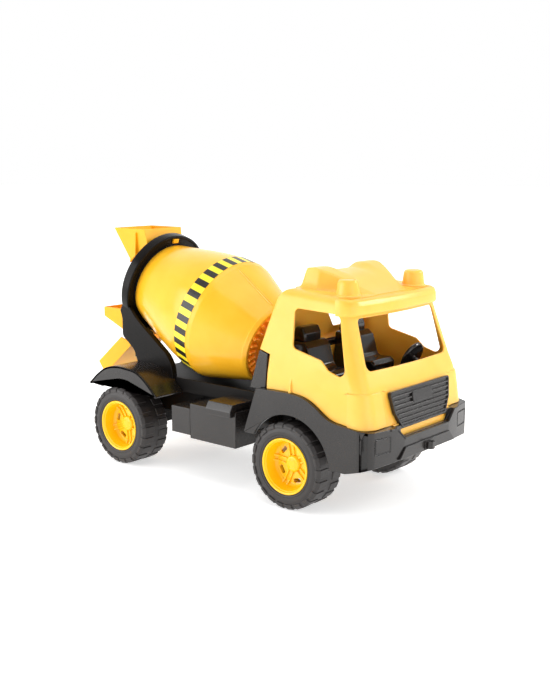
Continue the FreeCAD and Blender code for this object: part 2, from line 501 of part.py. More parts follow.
def make_cab():
    """Build the thin yellow cab shell, its roof deflector, the two beacons and the grille."""
    outer_side = ["cab_foot_rear", "cab_waist_rear", "cab_ledge", "cab_shoulder", "roof_rear", "roof_front",
                  "visor_top", "visor_low", "glass_head", "glass_foot", "cab_nose", "cab_foot_front",
                  "bumper_top_rear", "fender_bed", "fender_dip", "fender_slope", "fender_shoulder",
                  "fender_crown"]
    outer_face = mirrored_outline([("cab_half", "cab_base"), ("cab_half", "cab_belt"),
                                   ("cab_roof_half", "cab_peak")])
    block = crossed("cab_block", outer_side, "cab_half + edge_over", outer_face,
                    "cab_ledge_x - over", "cab_foot_front_x + over")
    apron = Piece("cab_apron")
    apron.pad("YZ", mirrored_outline([("apron_foot_half", "apron_low"),
                                      ("apron_top_half", "cab_foot_front_z + edge_over")]),
              "apron_rear", "apron_front")
    outer = combine("MultiFuse", "cab_outside", block, apron.body)
    inner_side = ["lining_rear_low", "lining_rear", "lining_lip", "lining_lip_top", "lining_ledge",
                  "lining_shoulder", "lining_roof_rear", "lining_roof_front", "lining_glass_head",
                  "lining_glass_foot", "lining_nose", "lining_foot_front"]
    inner_face = mirrored_outline([("cab_half - cab_wall", "cab_base - over"),
                                   ("cab_half - cab_wall", "cab_belt"),
                                   ("cab_roof_half - cab_wall", "cab_peak")])
    inner = crossed("cab_space", inner_side, "cab_half", inner_face,
                    "cab_ledge_x - over", "cab_foot_front_x + over")
    sides = Piece("side_window_cut")
    window = ["window_top_rear", "window_top_front", "window_front_low", "window_corner", "window_sill_front",
              "window_sill_mid", "window_sill_rear"]
    sides.pad("XZ", window, "-cab_half - over", "cab_half + over")
    across = 2 * (SHEET.get("cab_half") + 5)
    sides.round_edges("window_round", lambda edge: is_upright(edge, 1, across))
    front = Piece("windshield_cut")
    glass = mirrored_outline([("glass_half_low", "glass_low"), ("glass_half_high", "glass_high")])
    front.pad("YZ", glass, "window_top_front_x", "cab_foot_front_x + over")
    rear = Piece("rear_window_cut")
    rear.pad("YZ", [("rear_window_left", "rear_window_low"), ("rear_window_corner", "rear_window_low"),
                    ("rear_window_right", "rear_window_knee"), ("rear_window_right", "rear_window_high"),
                    ("rear_window_left", "rear_window_high")], "cab_ledge_x - over", "roof_rear_x + over")
    cuts = combine("MultiFuse", "cab_openings", inner, sides.body, front.body, rear.body)
    NODES.append(combine("Cut", "cab_shell", outer, cuts))
    hump_side = ["hump_rear", "hump_rear_crest", "hump_front_crest", "hump_front", "hump_front_low"]
    hump_face = mirrored_outline([("hump_outer", "hump_base_z - edge_over"),
                                  ("hump_crest_outer", "hump_crest_z + edge_over"),
                                  ("hump_crest_inner", "hump_crest_z + edge_over"),
                                  ("valley_half", "valley_z")])
    hump = crossed("deflector_block", hump_side, "hump_outer + edge_over", hump_face,
                   "hump_rear_x - over", "hump_front_x + over")
    taper = [("hump_rear_x - over", "hump_outer + edge_over"), ("hump_front_crest_x", "hump_outer"),
             ("hump_front_x + over", "hump_front_half")]
    plan = Piece("deflector_plan")
    plan.pad("XY", taper + [(x, f"-({y})") for x, y in reversed(taper)],
             "hump_base_z - over", "hump_crest_z + over")
    tapered = combine("MultiCommon", "deflector_tapered", hump, plan.body)
    NODES.append(combine("Cut", "roof_deflector", tapered, outer))
    for side, hand in ((-1, "right"), (1, "left")):
        beacon = Piece(f"beacon_{hand}_blank")
        beacon.turn([("0", "beacon_base"), ("beacon_radius", "beacon_base"),
                     ("beacon_top_radius", "beacon_top"), ("0", "beacon_top")])
        beacon.place("beacon_x", f"{side} * beacon_y")
        NODES.append(combine("Cut", f"beacon_{hand}", beacon.body, outer))
    grille_side = ["grille_top_back", "grille_top_front", "grille_foot_front", "grille_foot_back"]
    grille_face = mirrored_outline([("grille_foot_half", "grille_foot_front_z - edge_over"),
                                    ("grille_knee_half", "grille_knee_z"),
                                    ("grille_top_half", "grille_top_front_z + edge_over")])
    grille = crossed("grille_block", grille_side, "grille_top_half + over", grille_face,
                     "grille_top_back_x - over", "grille_foot_front_x + over")
    NODES.append(combine("Cut", "grille", grille, outer))


def make_interior():
    """Build the bulkhead, floor, seats, dashboard and steering wheel inside the cab."""
    bulkhead = Piece("cab_bulkhead")
    bulkhead.pad("XZ", ["bulkhead_foot", "bulkhead_foot_front", "bulkhead_seat", "bulkhead_front_foot",
                        "bulkhead_front_top", "bulkhead_top"], "-bulkhead_half", "bulkhead_half")
    bulkhead.keep()
    floor = Piece("cab_floor")
    floor.pad("XZ", rectangle("floor_rear", "floor_front", "floor_low", "floor_high"),
              "-interior_half", "interior_half")
    floor.keep()
    for side, hand in ((-1, "right"), (1, "left")):
        seat = Piece(f"seat_{hand}")
        seat.pad("XZ", ["seat_rear_foot", "seat_front_foot", "seat_front", "cushion_front", "cushion_rear",
                        "seat_shoulder", "seat_top", "seat_back"],
                 *on_side(side, "seat_inner_y", "seat_outer_y"))
        seat.pad("XZ", ["headrest_rear", "headrest_front", "headrest_top_front", "headrest_top_rear"],
                 *on_side(side, "headrest_inner_y", "headrest_outer_y"))
        seat.keep()
    dash = Piece("dashboard")
    dash.pad("XZ", ["dash_foot", "dash_edge", "dash_crown", "dash_front", "dash_nose", "dash_front_foot"],
             "-dash_half", "dash_half")
    dash.keep()
    steer = Piece("steering_blank")
    steer.turn([("0", "-column_reach"), ("column_radius", "-column_reach"), ("column_radius", "-steer_half"),
                 ("steer_face_radius", "-steer_half"), ("steer_radius", "0"),
                 ("steer_face_radius", "steer_half"),
                ("0", "steer_half")])
    rake = Rotation(Vector(0, 1, 0), SHEET.get("steer_rake") - 90.0)
    steer.place("steer_x", "steer_y", "steer_z", rake)
    NODES.append(combine("Cut", "steering_wheel", steer.body, dash.body))


def make_cradle():
    """Build the black cradle: the ring round the drum's mouth on two plate legs."""
    ring = Piece("cradle_ring")
    ring.turn(rectangle("ring_bore", "ring_radius", "ring_rear", "ring_front"))
    ring.along_drum()
    leg = ["leg_ring_rear", "leg_back", "leg_back_low", "leg_waist", "leg_heel", "leg_heel_foot",
           "guard_crown_rear", "guard_crown_front", "leg_toe_foot", "leg_toe", "leg_toe_top", "leg_front",
           "leg_front_mid", "leg_front_top", "leg_ring_front", "leg_in_ring", "leg_in_ring_rear"]
    foot = [("web_rear", "deck_high"), ("web_front", "deck_high"), ("web_front", "leg_toe_z"),
            ("web_rear", "foot_high")]
    parts = [ring.body]
    for side, hand in ((-1, "right"), (1, "left")):
        plate = Piece(f"cradle_leg_{hand}")
        plate.pad("XZ", leg, *on_side(side, "leg_inner_y", "leg_outer_y"))
        plate.pad("XZ", foot, *on_side(side, "foot_inner_y", "deck_half"))
        parts.append(plate.body)
    NODES.append(combine("MultiFuse", "drum_cradle", *parts))
    bush = Piece("mouth_bush")
    bush.turn([("mouth_radius", "ring_rear"), ("bush_flange_radius", "ring_rear"),
               ("bush_flange_radius", "bush_flange_front"), ("bush_radius", "bush_flange_front"),
               ("bush_radius", "bush_end"), ("mouth_radius", "bush_end")])
    bush.along_drum()
    bush.keep()
    bearing = Piece("drum_front_bearing")
    bore = "pin_radius + running_gap"
    bearing.turn([("0", "bearing_depth"), (bore, "bearing_depth"), (bore, "bearing_near"),
                  ("bearing_near_radius", "bearing_near"), ("bearing_far_radius", "bearing_far"),
                  ("0", "bearing_far")])
    bearing.along_drum()
    bearing.keep()


def make_drum():
    """Build the turning drum: two thin shells, the toothed nose cap with its pin, and the band."""
    rear = Piece("drum_rear_shell")
    outer = [("neck_radius", "neck_station"), ("neck_radius", "neck_end"),
             ("shoulder_radius", "shoulder_station"), ("throat_radius", "throat_station"),
             ("mid_radius", "mid_station"), ("belly_radius", "belly_station"),
             ("band_rear_radius", "band_rear"), ("split_radius", "split_station")]
    inner = [(f"{radius} - drum_wall", station) for radius, station in reversed(outer[3:])]
    rear.turn(outer + inner + [("neck_bore", "neck_inner_end"), ("neck_bore", "neck_station")])
    front = Piece("drum_front_shell")
    outer = [("split_radius", "split_station"), ("band_front_radius", "band_front"),
             ("turn_radius", "turn_station"), ("nose_radius", "nose_station")]
    inner = [(f"{radius} - drum_wall", station) for radius, station in reversed(outer)]
    front.turn(outer + inner)
    band = Piece("hazard_band")
    band.turn([("band_rear_radius + seat_gap", "band_rear"),
               ("band_rear_radius + band_thick", "band_rear"),
                ("band_front_radius + band_thick", "band_front"),
                ("band_front_radius + seat_gap", "band_front")])
    cap = Piece("drum_nose_cap")
    cap.turn([("0", "cap_disc_station"), ("cap_disc_radius", "cap_disc_station"),
              ("cap_disc_radius", "nose_station"), ("pin_radius", "nose_station"), ("pin_radius", "pin_end"),
              ("0", "pin_end")])
    tooth = rectangle("tooth_inner", "tooth_outer", "-tooth_wide / 2", "tooth_wide / 2")
    cap.pad("XY", tooth, "nose_station", "nose_station + tooth_high")
    cap.repeat_round("tooth_count")
    for piece in (rear, front, band, cap):
        piece.along_drum()
        piece.keep()


def plane_x(height, gap):
    """Give the X of the ring's rear face at a height, a hair behind the face."""
    mouth_x = "(drum_x + ring_rear * cos(drum_tilt))"
    mouth_z = "(drum_z - ring_rear * sin(drum_tilt))"
    return f"{mouth_x} + (({height}) - {mouth_z}) * tan(drum_tilt) - {gap}"


def make_hopper():
    """Build the filling hopper behind the mouth and the collector that catches the load below it."""
    outer_side = ["hopper_rim_rear", "hopper_rim_front",
                  (plane_x("bowl_front_foot_z", "seat_gap"), "bowl_front_foot_z"),
                  (plane_x("hopper_foot_z", "seat_gap"), "hopper_foot_z"), "hopper_rear_foot", "hopper_knee"]
    inner_side = ["bowl_rim_rear", "bowl_rim_front", "bowl_front_foot", "bowl_mouth_high", "bowl_mouth_low",
                  "bowl_rear_foot", "bowl_knee"]
    blocks = []
    for name, side, wall in (("hopper_block", outer_side, "0"), ("hopper_bowl", inner_side, "hopper_wall")):
        face = mirrored_outline([(f"hopper_foot_half - {wall}", "hopper_foot_z - deep_over"),
                                 (f"hopper_foot_half - {wall}", "hopper_foot_z"),
                                 (f"hopper_rim_half - {wall}", "hopper_top"),
                                 (f"hopper_rim_half - {wall}", "hopper_top + over")])
        blocks.append(crossed(name, side, "hopper_rim_half + edge_over", face,
                              "hopper_rim_rear_x - over", "bowl_mouth_low_x + over"))
    NODES.append(combine("Cut", "hopper", *blocks))
    outer_side = ["collector_rim_rear", (plane_x("collector_top", "seat_gap"), "collector_top"),
                  (plane_x("outlet_z", "seat_gap"), "outlet_z"), "outlet_rear", "collector_knee",
                  "collector_lip"]
    inner_side = ["tray_rim_rear", "tray_rim_front", "tray_outlet_front", "tray_outlet_rear", "tray_knee",
                  "tray_lip"]
    blocks = []
    for name, side, wall in (("collector_block", outer_side, "0"),
                             ("collector_tray", inner_side, "collector_wall")):
        face = mirrored_outline([(f"outlet_half - {wall}", "outlet_z - over"),
                                 (f"outlet_half - {wall}", "outlet_z"),
                                 (f"collector_half - {wall}", "collector_taper_z"),
                                 (f"collector_half - {wall}", "collector_top + over")])
        blocks.append(crossed(name, side, "collector_half + edge_over", face,
                              "collector_lip_x - over", "chassis_rear + deep_over"))
    NODES.append(combine("Cut", "collector", *blocks))


def make_chute():
    """Build the swinging chute, its pivot pin and the bracket that carries it."""
    chute = Piece("chute")
    trough = ["chute_head_low", "chute_head_high", "chute_end_high", "chute_end_low"]
    chute.pad("XZ", trough, "-chute_half", "chute_half")
    chute.pad_round("XY", [("pivot_x", "0")], "boss_radius", "boss_low", "boss_high")
    gutter = ["gutter_head", "gutter_end", "gutter_above_end", "gutter_above_head"]
    chute.pocket("XZ", gutter, "-(chute_half - chute_wall)", "chute_half - chute_wall")
    chute.drill("XY", [("pivot_x", "0")], "chute_pin_radius", "boss_low", "chute_pin_top")
    chute.keep()
    pin = Piece("chute_pin")
    pin.pad_round("XY", [("pivot_x", "0")], "pin_head_radius", "pin_head_low", "pin_head_high")
    pin.pad_round("XY", [("pivot_x", "0")], "chute_pin_radius", "pin_head_high", "chute_pin_top")
    pin.keep()
    bracket = Piece("chute_bracket")
    shape = [("bracket_bolster_rear", "deck_high"), ("bracket_bolster_front", "deck_high"),
             ("bracket_bolster_front", "bracket_plate_high"), ("bracket_plate_rear", "bracket_plate_high"),
             ("bracket_plate_rear", "bracket_plate_low"), ("bracket_bolster_rear", "bracket_plate_low")]
    bracket.pad("XZ", shape, "-chute_bracket_half", "chute_bracket_half")
    bracket.drill("XY", [("pivot_x", "0")], "chute_pin_radius + running_gap", "bracket_plate_low",
                  "bracket_plate_high")
    bracket.keep()


def make_axles():
    """Build the two steel axles and the push-on washers that hold the wheels on them."""
    washers = []
    for name, axle in (("front_axle", "front_axle_x"), ("rear_axle", "rear_axle_x")):
        bar = Piece(name)
        reach = "tyre_inner_y + axle_end"
        bar.pad_round("XZ", [(axle, "tyre_radius")], "axle_radius", f"-({reach})", reach)
        bar.keep()
        for side, hand in ((-1, "right"), (1, "left")):
            washer = Piece(f"{name}_{hand}_washer")
            layer = on_side(side, "tyre_inner_y + washer_low", "tyre_inner_y + washer_high")
            washer.pad_round("XZ", [(axle, "tyre_radius")], "washer_radius", *layer)
            washer.drill("XZ", [(axle, "tyre_radius")], "axle_radius + washer_gap", *layer)
            washers.append(washer.body)
    NODES.append(combine("MultiFuse", "axle_lock_washers", *washers))


def make_wheel(axle, end, side, hand):
    """Build one wheel about its own Z axis, tyre, rim and hub cap, and set it on its axle."""
    tyre = Piece(f"{end}_{hand}_tyre")
    tyre.turn([("rim_radius + tyre_gap", "0"), ("tyre_radius - shoulder_drop", "0"),
               ("tyre_radius", "tyre_shoulder"), ("tyre_radius", "tyre_width - tyre_shoulder"),
               ("tyre_radius - shoulder_drop", "tyre_width"), ("rim_radius + tyre_gap", "tyre_width")])
    rim = Piece(f"{end}_{hand}_rim")
    bore = "axle_radius + running_gap"
    rim.turn([(bore, "-hub_inner_reach"), ("hub_radius", "-hub_inner_reach"), ("hub_radius", "rim_disc_low"),
              ("bead_radius", "rim_disc_low"), ("bead_radius", "rim_low"), ("rim_radius", "rim_low"),
              ("rim_radius", "rim_lip"), ("bead_radius", "rim_lip"), ("dish_radius", "rim_disc_high"),
              (bore, "rim_disc_high")])
    holes = [(f"spoke_ring * cos({number} * 360 / spoke_count)",
              f"spoke_ring * sin({number} * 360 / spoke_count)")
             for number in range(int(SHEET.get("spoke_count")))]
    rim.drill("XY", holes, "spoke_hole", "rim_disc_low", "rim_disc_high")
    cap = Piece(f"{end}_{hand}_hub_cap")
    cap.turn([("cap_bore", "rim_disc_high"), ("cap_radius", "rim_disc_high"), ("cap_radius", "cap_edge_low"),
              ("cap_flat_radius", "cap_top"), ("0", "cap_top"), ("0", "cap_top - cap_roof"),
              ("cap_bore", "cap_top - cap_roof")])
    outward = Rotation(Vector(1, 0, 0), -90.0 * side)
    for piece in (tyre, rim, cap):
        piece.place(axle, f"{side} * tyre_inner_y", "tyre_radius", outward)
        piece.keep()


def check_document():
    """Stop if any object failed or any node's shape is not a sound solid."""
    DOC.recompute()
    for item in DOC.Objects:
        if "Invalid" in item.State or "Error" in item.State:
            raise RuntimeError(f"{item.Name} failed: {item.State}")
    for node in NODES:
        if node.Shape.isNull() or not node.Shape.isValid() or not node.Shape.Solids:
            raise RuntimeError(f"{node.Label} has no sound shape")


def main():
    """Build every piece in order, check them and write one file for each node."""
    posts = make_chassis()
    make_screws(posts)
    make_fender(posts)
    make_tow_eye()
    for side, hand in ((-1, "right"), (1, "left")):
        make_mudguard(side, hand)
        make_boxes(side, hand)
    make_cab()
    make_interior()
    make_cradle()
    make_drum()
    make_hopper()
    make_chute()
    make_axles()
    for end, axle in (("front", "front_axle_x"), ("rear", "rear_axle_x")):
        for side, hand in ((-1, "right"), (1, "left")):
            make_wheel(axle, end, side, hand)
    check_document()
    os.makedirs("parts", exist_ok=True)
    for node in NODES:
        node.Shape.exportStep(f"parts/{node.Label}.step")
    print(len(NODES), "nodes written")


main()
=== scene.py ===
"""A toy cement mixer truck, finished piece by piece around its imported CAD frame.

Sizes are in millimetres in the frame's own directions: +X is the front of the truck, +Y its left
side, +Z up. Meshes are written in metres. Each sub-assembly is a class that builds its own pieces.
"""

import logging
import math
from collections.abc import Sequence
from dataclasses import dataclass
from enum import Enum
from typing import ClassVar

import bmesh
import bpy
from mathutils import Matrix, Vector


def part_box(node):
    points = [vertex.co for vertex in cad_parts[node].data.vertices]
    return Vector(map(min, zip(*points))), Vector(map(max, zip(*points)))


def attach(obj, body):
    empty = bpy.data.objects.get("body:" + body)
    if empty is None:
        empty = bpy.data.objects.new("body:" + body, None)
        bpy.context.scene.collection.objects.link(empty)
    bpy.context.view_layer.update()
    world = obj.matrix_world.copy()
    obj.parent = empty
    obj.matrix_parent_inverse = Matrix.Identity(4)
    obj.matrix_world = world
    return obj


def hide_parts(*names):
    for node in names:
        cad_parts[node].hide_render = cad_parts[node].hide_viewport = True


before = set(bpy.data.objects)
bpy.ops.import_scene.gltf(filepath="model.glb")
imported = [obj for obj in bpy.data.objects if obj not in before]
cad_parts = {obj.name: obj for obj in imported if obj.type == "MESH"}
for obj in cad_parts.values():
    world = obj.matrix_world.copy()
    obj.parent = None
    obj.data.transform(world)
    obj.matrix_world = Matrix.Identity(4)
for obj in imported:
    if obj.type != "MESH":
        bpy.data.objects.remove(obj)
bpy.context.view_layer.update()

MM = 0.001
POINT_WELD = 0.002 * MM  # points of a new solid that are this close are one point
CUT_WELD = 0.01 * MM  # corners that a cut or a copy left this close are one corner
FLAT_BEND = math.radians(0.6)  # faces that bend less than this are one face
PAST_SIDES = 110.0  # half the width of a cutter that reaches past both sides of the truck
SAME_PLACE = 0.01  # millimetres between two places that count as one
LOG = logging.getLogger("cement_mixer")

Corner = tuple[float, ...]
Place = tuple[float, float, float]
Outline = list[tuple[float, float]]


class Side(Enum):
    """The two sides of the truck, with the sign of Y on each."""

    RIGHT = -1
    LEFT = 1

    @property
    def hand(self) -> str:
        """The side's word in the names of nodes."""
        return self.name.lower()

    def span(self, near: float, far: float) -> tuple[float, float]:
        """Give the Y range between two distances from the middle on this side, lowest first."""
        low, high = sorted((self.value * near, self.value * far))
        return low, high


class Plane(Enum):
    """The plane an outline is drawn in: its two axes, then the axis it is extruded along."""

    XY = (0, 1, 2)
    XZ = (0, 2, 1)
    YZ = (1, 2, 0)


class Cut(Enum):
    """How one solid is combined with another."""

    TAKE_AWAY = "DIFFERENCE"
    KEEP_COMMON = "INTERSECT"


class Body(Enum):
    """The moving bodies that are not wheels."""

    TRUCK = "truck"
    DRUM = "drum"
    CHUTE = "chute"


# ---------------------------------------------------------------- nodes and finishes


def add_node(tree: bpy.types.NodeTree, kind: str, inputs: dict[str | int, object] | None = None,
             **settings: object) -> bpy.types.Node:
    """Add one node, with its settings, its values and its links.

    Args:
        tree: The tree that gets the node.
        kind: The node's type name.
        inputs: Input names or numbers, each with a value or an output socket to link from.
        **settings: Attributes of the node itself.

    Returns:
        The new node.
    """
    node = tree.nodes.new(kind)
    for name, value in settings.items():
        setattr(node, name, value)
    for key, value in (inputs or {}).items():
        if isinstance(value, bpy.types.NodeSocket):
            tree.links.new(value, node.inputs[key])
        else:
            node.inputs[key].default_value = value
    return node


def linear(hex_colour: str) -> tuple[float, float, float, float]:
    """Turn an sRGB hex colour into linear RGBA.

    Args:
        hex_colour: Six hex digits after a hash sign.

    Returns:
        Red, green, blue and an alpha of 1.
    """
    parts = [int(hex_colour[i:i + 2], 16) / 255 for i in (1, 3, 5)]
    return (*(p / 12.92 if p <= 0.04045 else ((p + 0.055) / 1.055) ** 2.4 for p in parts), 1.0)


@dataclass(frozen=True)
class MouldedPlastic:
    """Injection-moulded plastic: an even colour with faint flow marks, a soft gloss and rubbed edges."""

    name: str
    colour: str
    deep: str
    worn: str
    roughness: float
    ior: float = 1.49
    shine: float = 0.5
    flow_mm: float = 38.0
    grain_mm: float = 0.9
    grain_high_mm: float = 0.02
    swell_mm: float = 26.0
    swell_high_mm: float = 0.12
    glow: float = 0.0

    # Noise values between which the deep tint takes over, and the grain goes from glossy to dull.
    FLOW_EDGES: ClassVar[tuple[float, float]] = (0.38, 0.66)
    GRAIN_EDGES: ClassVar[tuple[float, float]] = (0.3, 0.7)
    # How sharp an edge is where rubbing starts and is complete, and how much of the worn colour shows there.
    RUB_EDGES: ClassVar[tuple[float, float]] = (0.53, 0.62)
    RUB_SHARE: ClassVar[float] = 0.55
    # How far the grain takes the roughness below and above its mean.
    GLOSSIER: ClassVar[float] = 0.04
    DULLER: ClassVar[float] = 0.05
    # How deep red, green and blue light go into a plastic that glows, in metres.
    GLOW_DEPTH: ClassVar[Place] = (0.004, 0.002, 0.0005)

    def build(self) -> bpy.types.Material:
        """Build the node material.

        Returns:
            The new material.
        """
        material, tree, shader = blank_material(self.name)
        place = add_node(tree, "ShaderNodeTexCoord").outputs["Object"]
        flow = add_node(tree, "ShaderNodeTexNoise", {"Vector": place, "Scale": 1 / (self.flow_mm * MM),
                                                     "Detail": 3.0})
        share = add_node(tree, "ShaderNodeMapRange", {"Value": flow.outputs["Fac"],
                                                      "From Min": self.FLOW_EDGES[0],
                                                      "From Max": self.FLOW_EDGES[1]})
        tint = add_node(tree, "ShaderNodeMix", {0: share.outputs["Result"], 6: linear(self.colour),
                                                7: linear(self.deep)}, data_type="RGBA")
        edge = add_node(tree, "ShaderNodeNewGeometry").outputs["Pointiness"]
        rub = add_node(tree, "ShaderNodeMapRange", {"Value": edge, "From Min": self.RUB_EDGES[0],
                                                    "From Max": self.RUB_EDGES[1],
                                                    "To Max": self.RUB_SHARE})
        paint = add_node(tree, "ShaderNodeMix", {0: rub.outputs["Result"], 6: tint.outputs[2],
                                                 7: linear(self.worn)}, data_type="RGBA")
        grain = add_node(tree, "ShaderNodeTexNoise", {"Vector": place, "Scale": 1 / (self.grain_mm * MM),
                                                      "Detail": 2.0})
        swell = add_node(tree, "ShaderNodeTexNoise", {"Vector": place, "Scale": 1 / (self.swell_mm * MM),
                                                      "Detail": 1.0})
        gloss = add_node(tree, "ShaderNodeMapRange", {"Value": grain.outputs["Fac"],
                                                      "From Min": self.GRAIN_EDGES[0],
                                                      "From Max": self.GRAIN_EDGES[1],
                                                      "To Min": self.roughness - self.GLOSSIER,
                                                      "To Max": self.roughness + self.DULLER})
        wavy = add_node(tree, "ShaderNodeBump", {"Height": swell.outputs["Fac"], "Strength": 1.0,
                                                 "Distance": self.swell_high_mm * MM})
        bump = add_node(tree, "ShaderNodeBump", {"Height": grain.outputs["Fac"], "Strength": 1.0,
                                                 "Distance": self.grain_high_mm * MM,
                                                 "Normal": wavy.outputs["Normal"]})
        tree.links.new(paint.outputs[2], shader.inputs["Base Color"])
        tree.links.new(gloss.outputs["Result"], shader.inputs["Roughness"])
        tree.links.new(bump.outputs["Normal"], shader.inputs["Normal"])
        shader.inputs["IOR"].default_value = self.ior
        shader.inputs["Specular IOR Level"].default_value = self.shine
        shader.inputs["Subsurface Weight"].default_value = self.glow
        shader.inputs["Subsurface Radius"].default_value = self.GLOW_DEPTH
        return material


@dataclass(frozen=True)
class PlatedSteel:
    """Zinc-plated or drawn steel: a grey metal with fine turning marks along one axis."""

    name: str
    colour: str
    dull: str
    roughness: float
    mark_mm: float = 0.5
    mark_high_mm: float = 0.01
    cloud_mm: float = 6.0
    duller: float = 0.15

    def build(self) -> bpy.types.Material:
        """Build the node material.

        Returns:
            The new material.
        """
        material, tree, shader = blank_material(self.name)
        place = add_node(tree, "ShaderNodeTexCoord").outputs["Object"]
        cloud = add_node(tree, "ShaderNodeTexNoise", {"Vector": place, "Scale": 1 / (self.cloud_mm * MM),
                                                      "Detail": 4.0})
        marks = add_node(tree, "ShaderNodeTexNoise", {"Vector": place, "Scale": 1 / (self.mark_mm * MM)})
        tint = add_node(tree, "ShaderNodeMix", {0: cloud.outputs["Fac"], 6: linear(self.colour),
                                                7: linear(self.dull)}, data_type="RGBA")
        gloss = add_node(tree, "ShaderNodeMapRange", {"Value": cloud.outputs["Fac"], "To Min": self.roughness,
                                                      "To Max": self.roughness + self.duller})
        bump = add_node(tree, "ShaderNodeBump", {"Height": marks.outputs["Fac"],
                                                 "Distance": self.mark_high_mm * MM})
        tree.links.new(tint.outputs[2], shader.inputs["Base Color"])
        tree.links.new(gloss.outputs["Result"], shader.inputs["Roughness"])
        tree.links.new(bump.outputs["Normal"], shader.inputs["Normal"])
        shader.inputs["Metallic"].default_value = 1.0
        return material


def blank_material(name: str) -> tuple[bpy.types.Material, bpy.types.NodeTree, bpy.types.Node]:
    """Start a node material that holds only its shader and its output.

    Args:
        name: The material's name.

    Returns:
        The material, its tree and its shader.
    """
    material = bpy.data.materials.new(name)
    material.use_nodes = True
    tree = material.node_tree
    tree.nodes.clear()
    shader = add_node(tree, "ShaderNodeBsdfPrincipled")
    add_node(tree, "ShaderNodeOutputMaterial", {"Surface": shader.outputs[0]})
    return material, tree, shader


class Finish(Enum):
    """Every finish on the truck: the record's slot it belongs to, and what it is made of."""

    # Polypropylene cab mouldings: warm yellow with a soft, wide sheen; the base colour is paler and bluer
    # than the drum's, with painted sheen mixed into it.
    CAB = ("yellow_plastic", MouldedPlastic(
        "polypropylene_cab_yellow", "#FFC24E", "#FFBC42", "#FFD47A", 0.32, glow=0.25))
    # Blow-moulded drum: the same yellow plastic, without the cab's painted sheen, glossier and a little wavy.
    DRUM = ("drum_plastic", MouldedPlastic(
        "polypropylene_drum_yellow", "#FFBF30", "#FFB822", "#FFCE58", 0.2, swell_mm=34.0, swell_high_mm=0.3))
    # Nose gear: the deepest orange of the yellow mouldings, which is painted shade of the dim gap behind the
    # cab on yellow plastic.
    GEAR = ("gear_plastic", MouldedPlastic(
        "polypropylene_gear_orange", "#FF9A10", "#FA8C08", "#FFB040", 0.35))
    # Chute, collector and hopper: yellow with more orange in it, less shiny than the drum.
    CHUTE = ("chute_plastic", MouldedPlastic(
        "polypropylene_chute_yellow", "#FFB60A", "#FFAF05", "#FFC63C", 0.42, shine=0.3))
    # Wheel discs: saturated yellow, shiny from a polished mould.
    WHEEL = ("wheel_yellow", MouldedPlastic(
        "polypropylene_wheel_yellow", "#FFCA12", "#FFC408", "#FFD84C", 0.24))
    # Black mouldings: warm black with a satin sheen that goes grey in the light.
    BLACK = ("black_plastic", MouldedPlastic(
        "polypropylene_black", "#1D1A19", "#171413", "#35312F", 0.24, swell_high_mm=0.2))
    # Drum cradle: the deepest black, smooth, but reflecting little; its darker colour and low shine are
    # painted shade from the drum's belly above it.
    DEEP = ("black_plastic", MouldedPlastic(
        "polypropylene_deep_black", "#141110", "#100E0D", "#262220", 0.24, shine=0.12))
    # Chassis: a rough black from a plain, unpolished mould; its darker colour and low shine are painted shade
    # of its deep well under the drum.
    DULL = ("black_plastic", MouldedPlastic(
        "polypropylene_dull_black", "#131110", "#0F0D0C", "#262220", 0.55, shine=0.15))
    # Seats, dashboard and steering wheel: black from a polished mould, nearly mirror bright.
    GLOSS = ("black_plastic", MouldedPlastic(
        "polypropylene_gloss_black", "#1A1615", "#151211", "#2B2625", 0.14, swell_high_mm=0.05))
    # Blow-moulded tyres: black with a matt grain.
    TYRE = ("tyre_plastic", MouldedPlastic(
        "polyethylene_tyre_black", "#2B2726", "#242120", "#3D3836", 0.42, grain_mm=0.7, grain_high_mm=0.04))
    # Printed film of the hazard band, bright yellow.
    FILM = ("hazard_film", MouldedPlastic(
        "vinyl_film_yellow", "#FFE81E", "#FFE40E", "#FFEE55", 0.3, swell_high_mm=0.05))
    # Printed film of the hazard band, black.
    INK = ("hazard_film", MouldedPlastic(
        "vinyl_film_black", "#1F1B18", "#191613", "#2E2A27", 0.3, swell_high_mm=0.05))
    # Drawn steel axles.
    AXLE = ("axle_steel", PlatedSteel("drawn_steel", "#B9B6B2", "#8E8A86", 0.3))
    # Zinc-plated screws and washers.
    ZINC = ("zinc_steel", PlatedSteel("zinc_plated_steel", "#C9CCCF", "#A4A8AD", 0.25))

    @property
    def slot(self) -> str:
        """The record's material slot of this finish."""
        return self.value[0]

    def material(self) -> bpy.types.Material:
        """Return the finish's material, built the first time it is asked for."""
        recipe = self.value[1]
        return bpy.data.materials.get(recipe.name) or recipe.build()


# ---------------------------------------------------------------- outlines


def rounded(corners: Sequence[Corner], steps: int = 6) -> Outline:
    """Round the corners of a closed outline with arcs.

    Args:
        corners: Places (u, v), or (u, v, radius) where the corner is round.
        steps: The number of chords in each arc.

    Returns:
        The outline's points.
    """
    points: Outline = []
    for i, corner in enumerate(corners):
        here = Vector(corner[:2])
        back = Vector(corners[i - 1][:2]) - here
        ahead = Vector(corners[(i + 1) % len(corners)][:2]) - here
        half = back.angle(ahead) / 2
        if len(corner) < 3 or half > math.radians(88):
            points.append(tuple(here))
            continue
        reach = min(corner[2] / math.tan(half), 0.48 * back.length, 0.48 * ahead.length)
        radius = reach * math.tan(half)
        centre = here + (back.normalized() + ahead.normalized()).normalized() * radius / math.sin(half)
        first = here + back.normalized() * reach - centre
        last = here + ahead.normalized() * reach - centre
        start, sweep = math.atan2(first.y, first.x), math.atan2(first.cross(last), first.dot(last))
        for k in range(steps + 1):
            angle = start + sweep * k / steps
            points.append((centre.x + radius * math.cos(angle), centre.y + radius * math.sin(angle)))
    return points


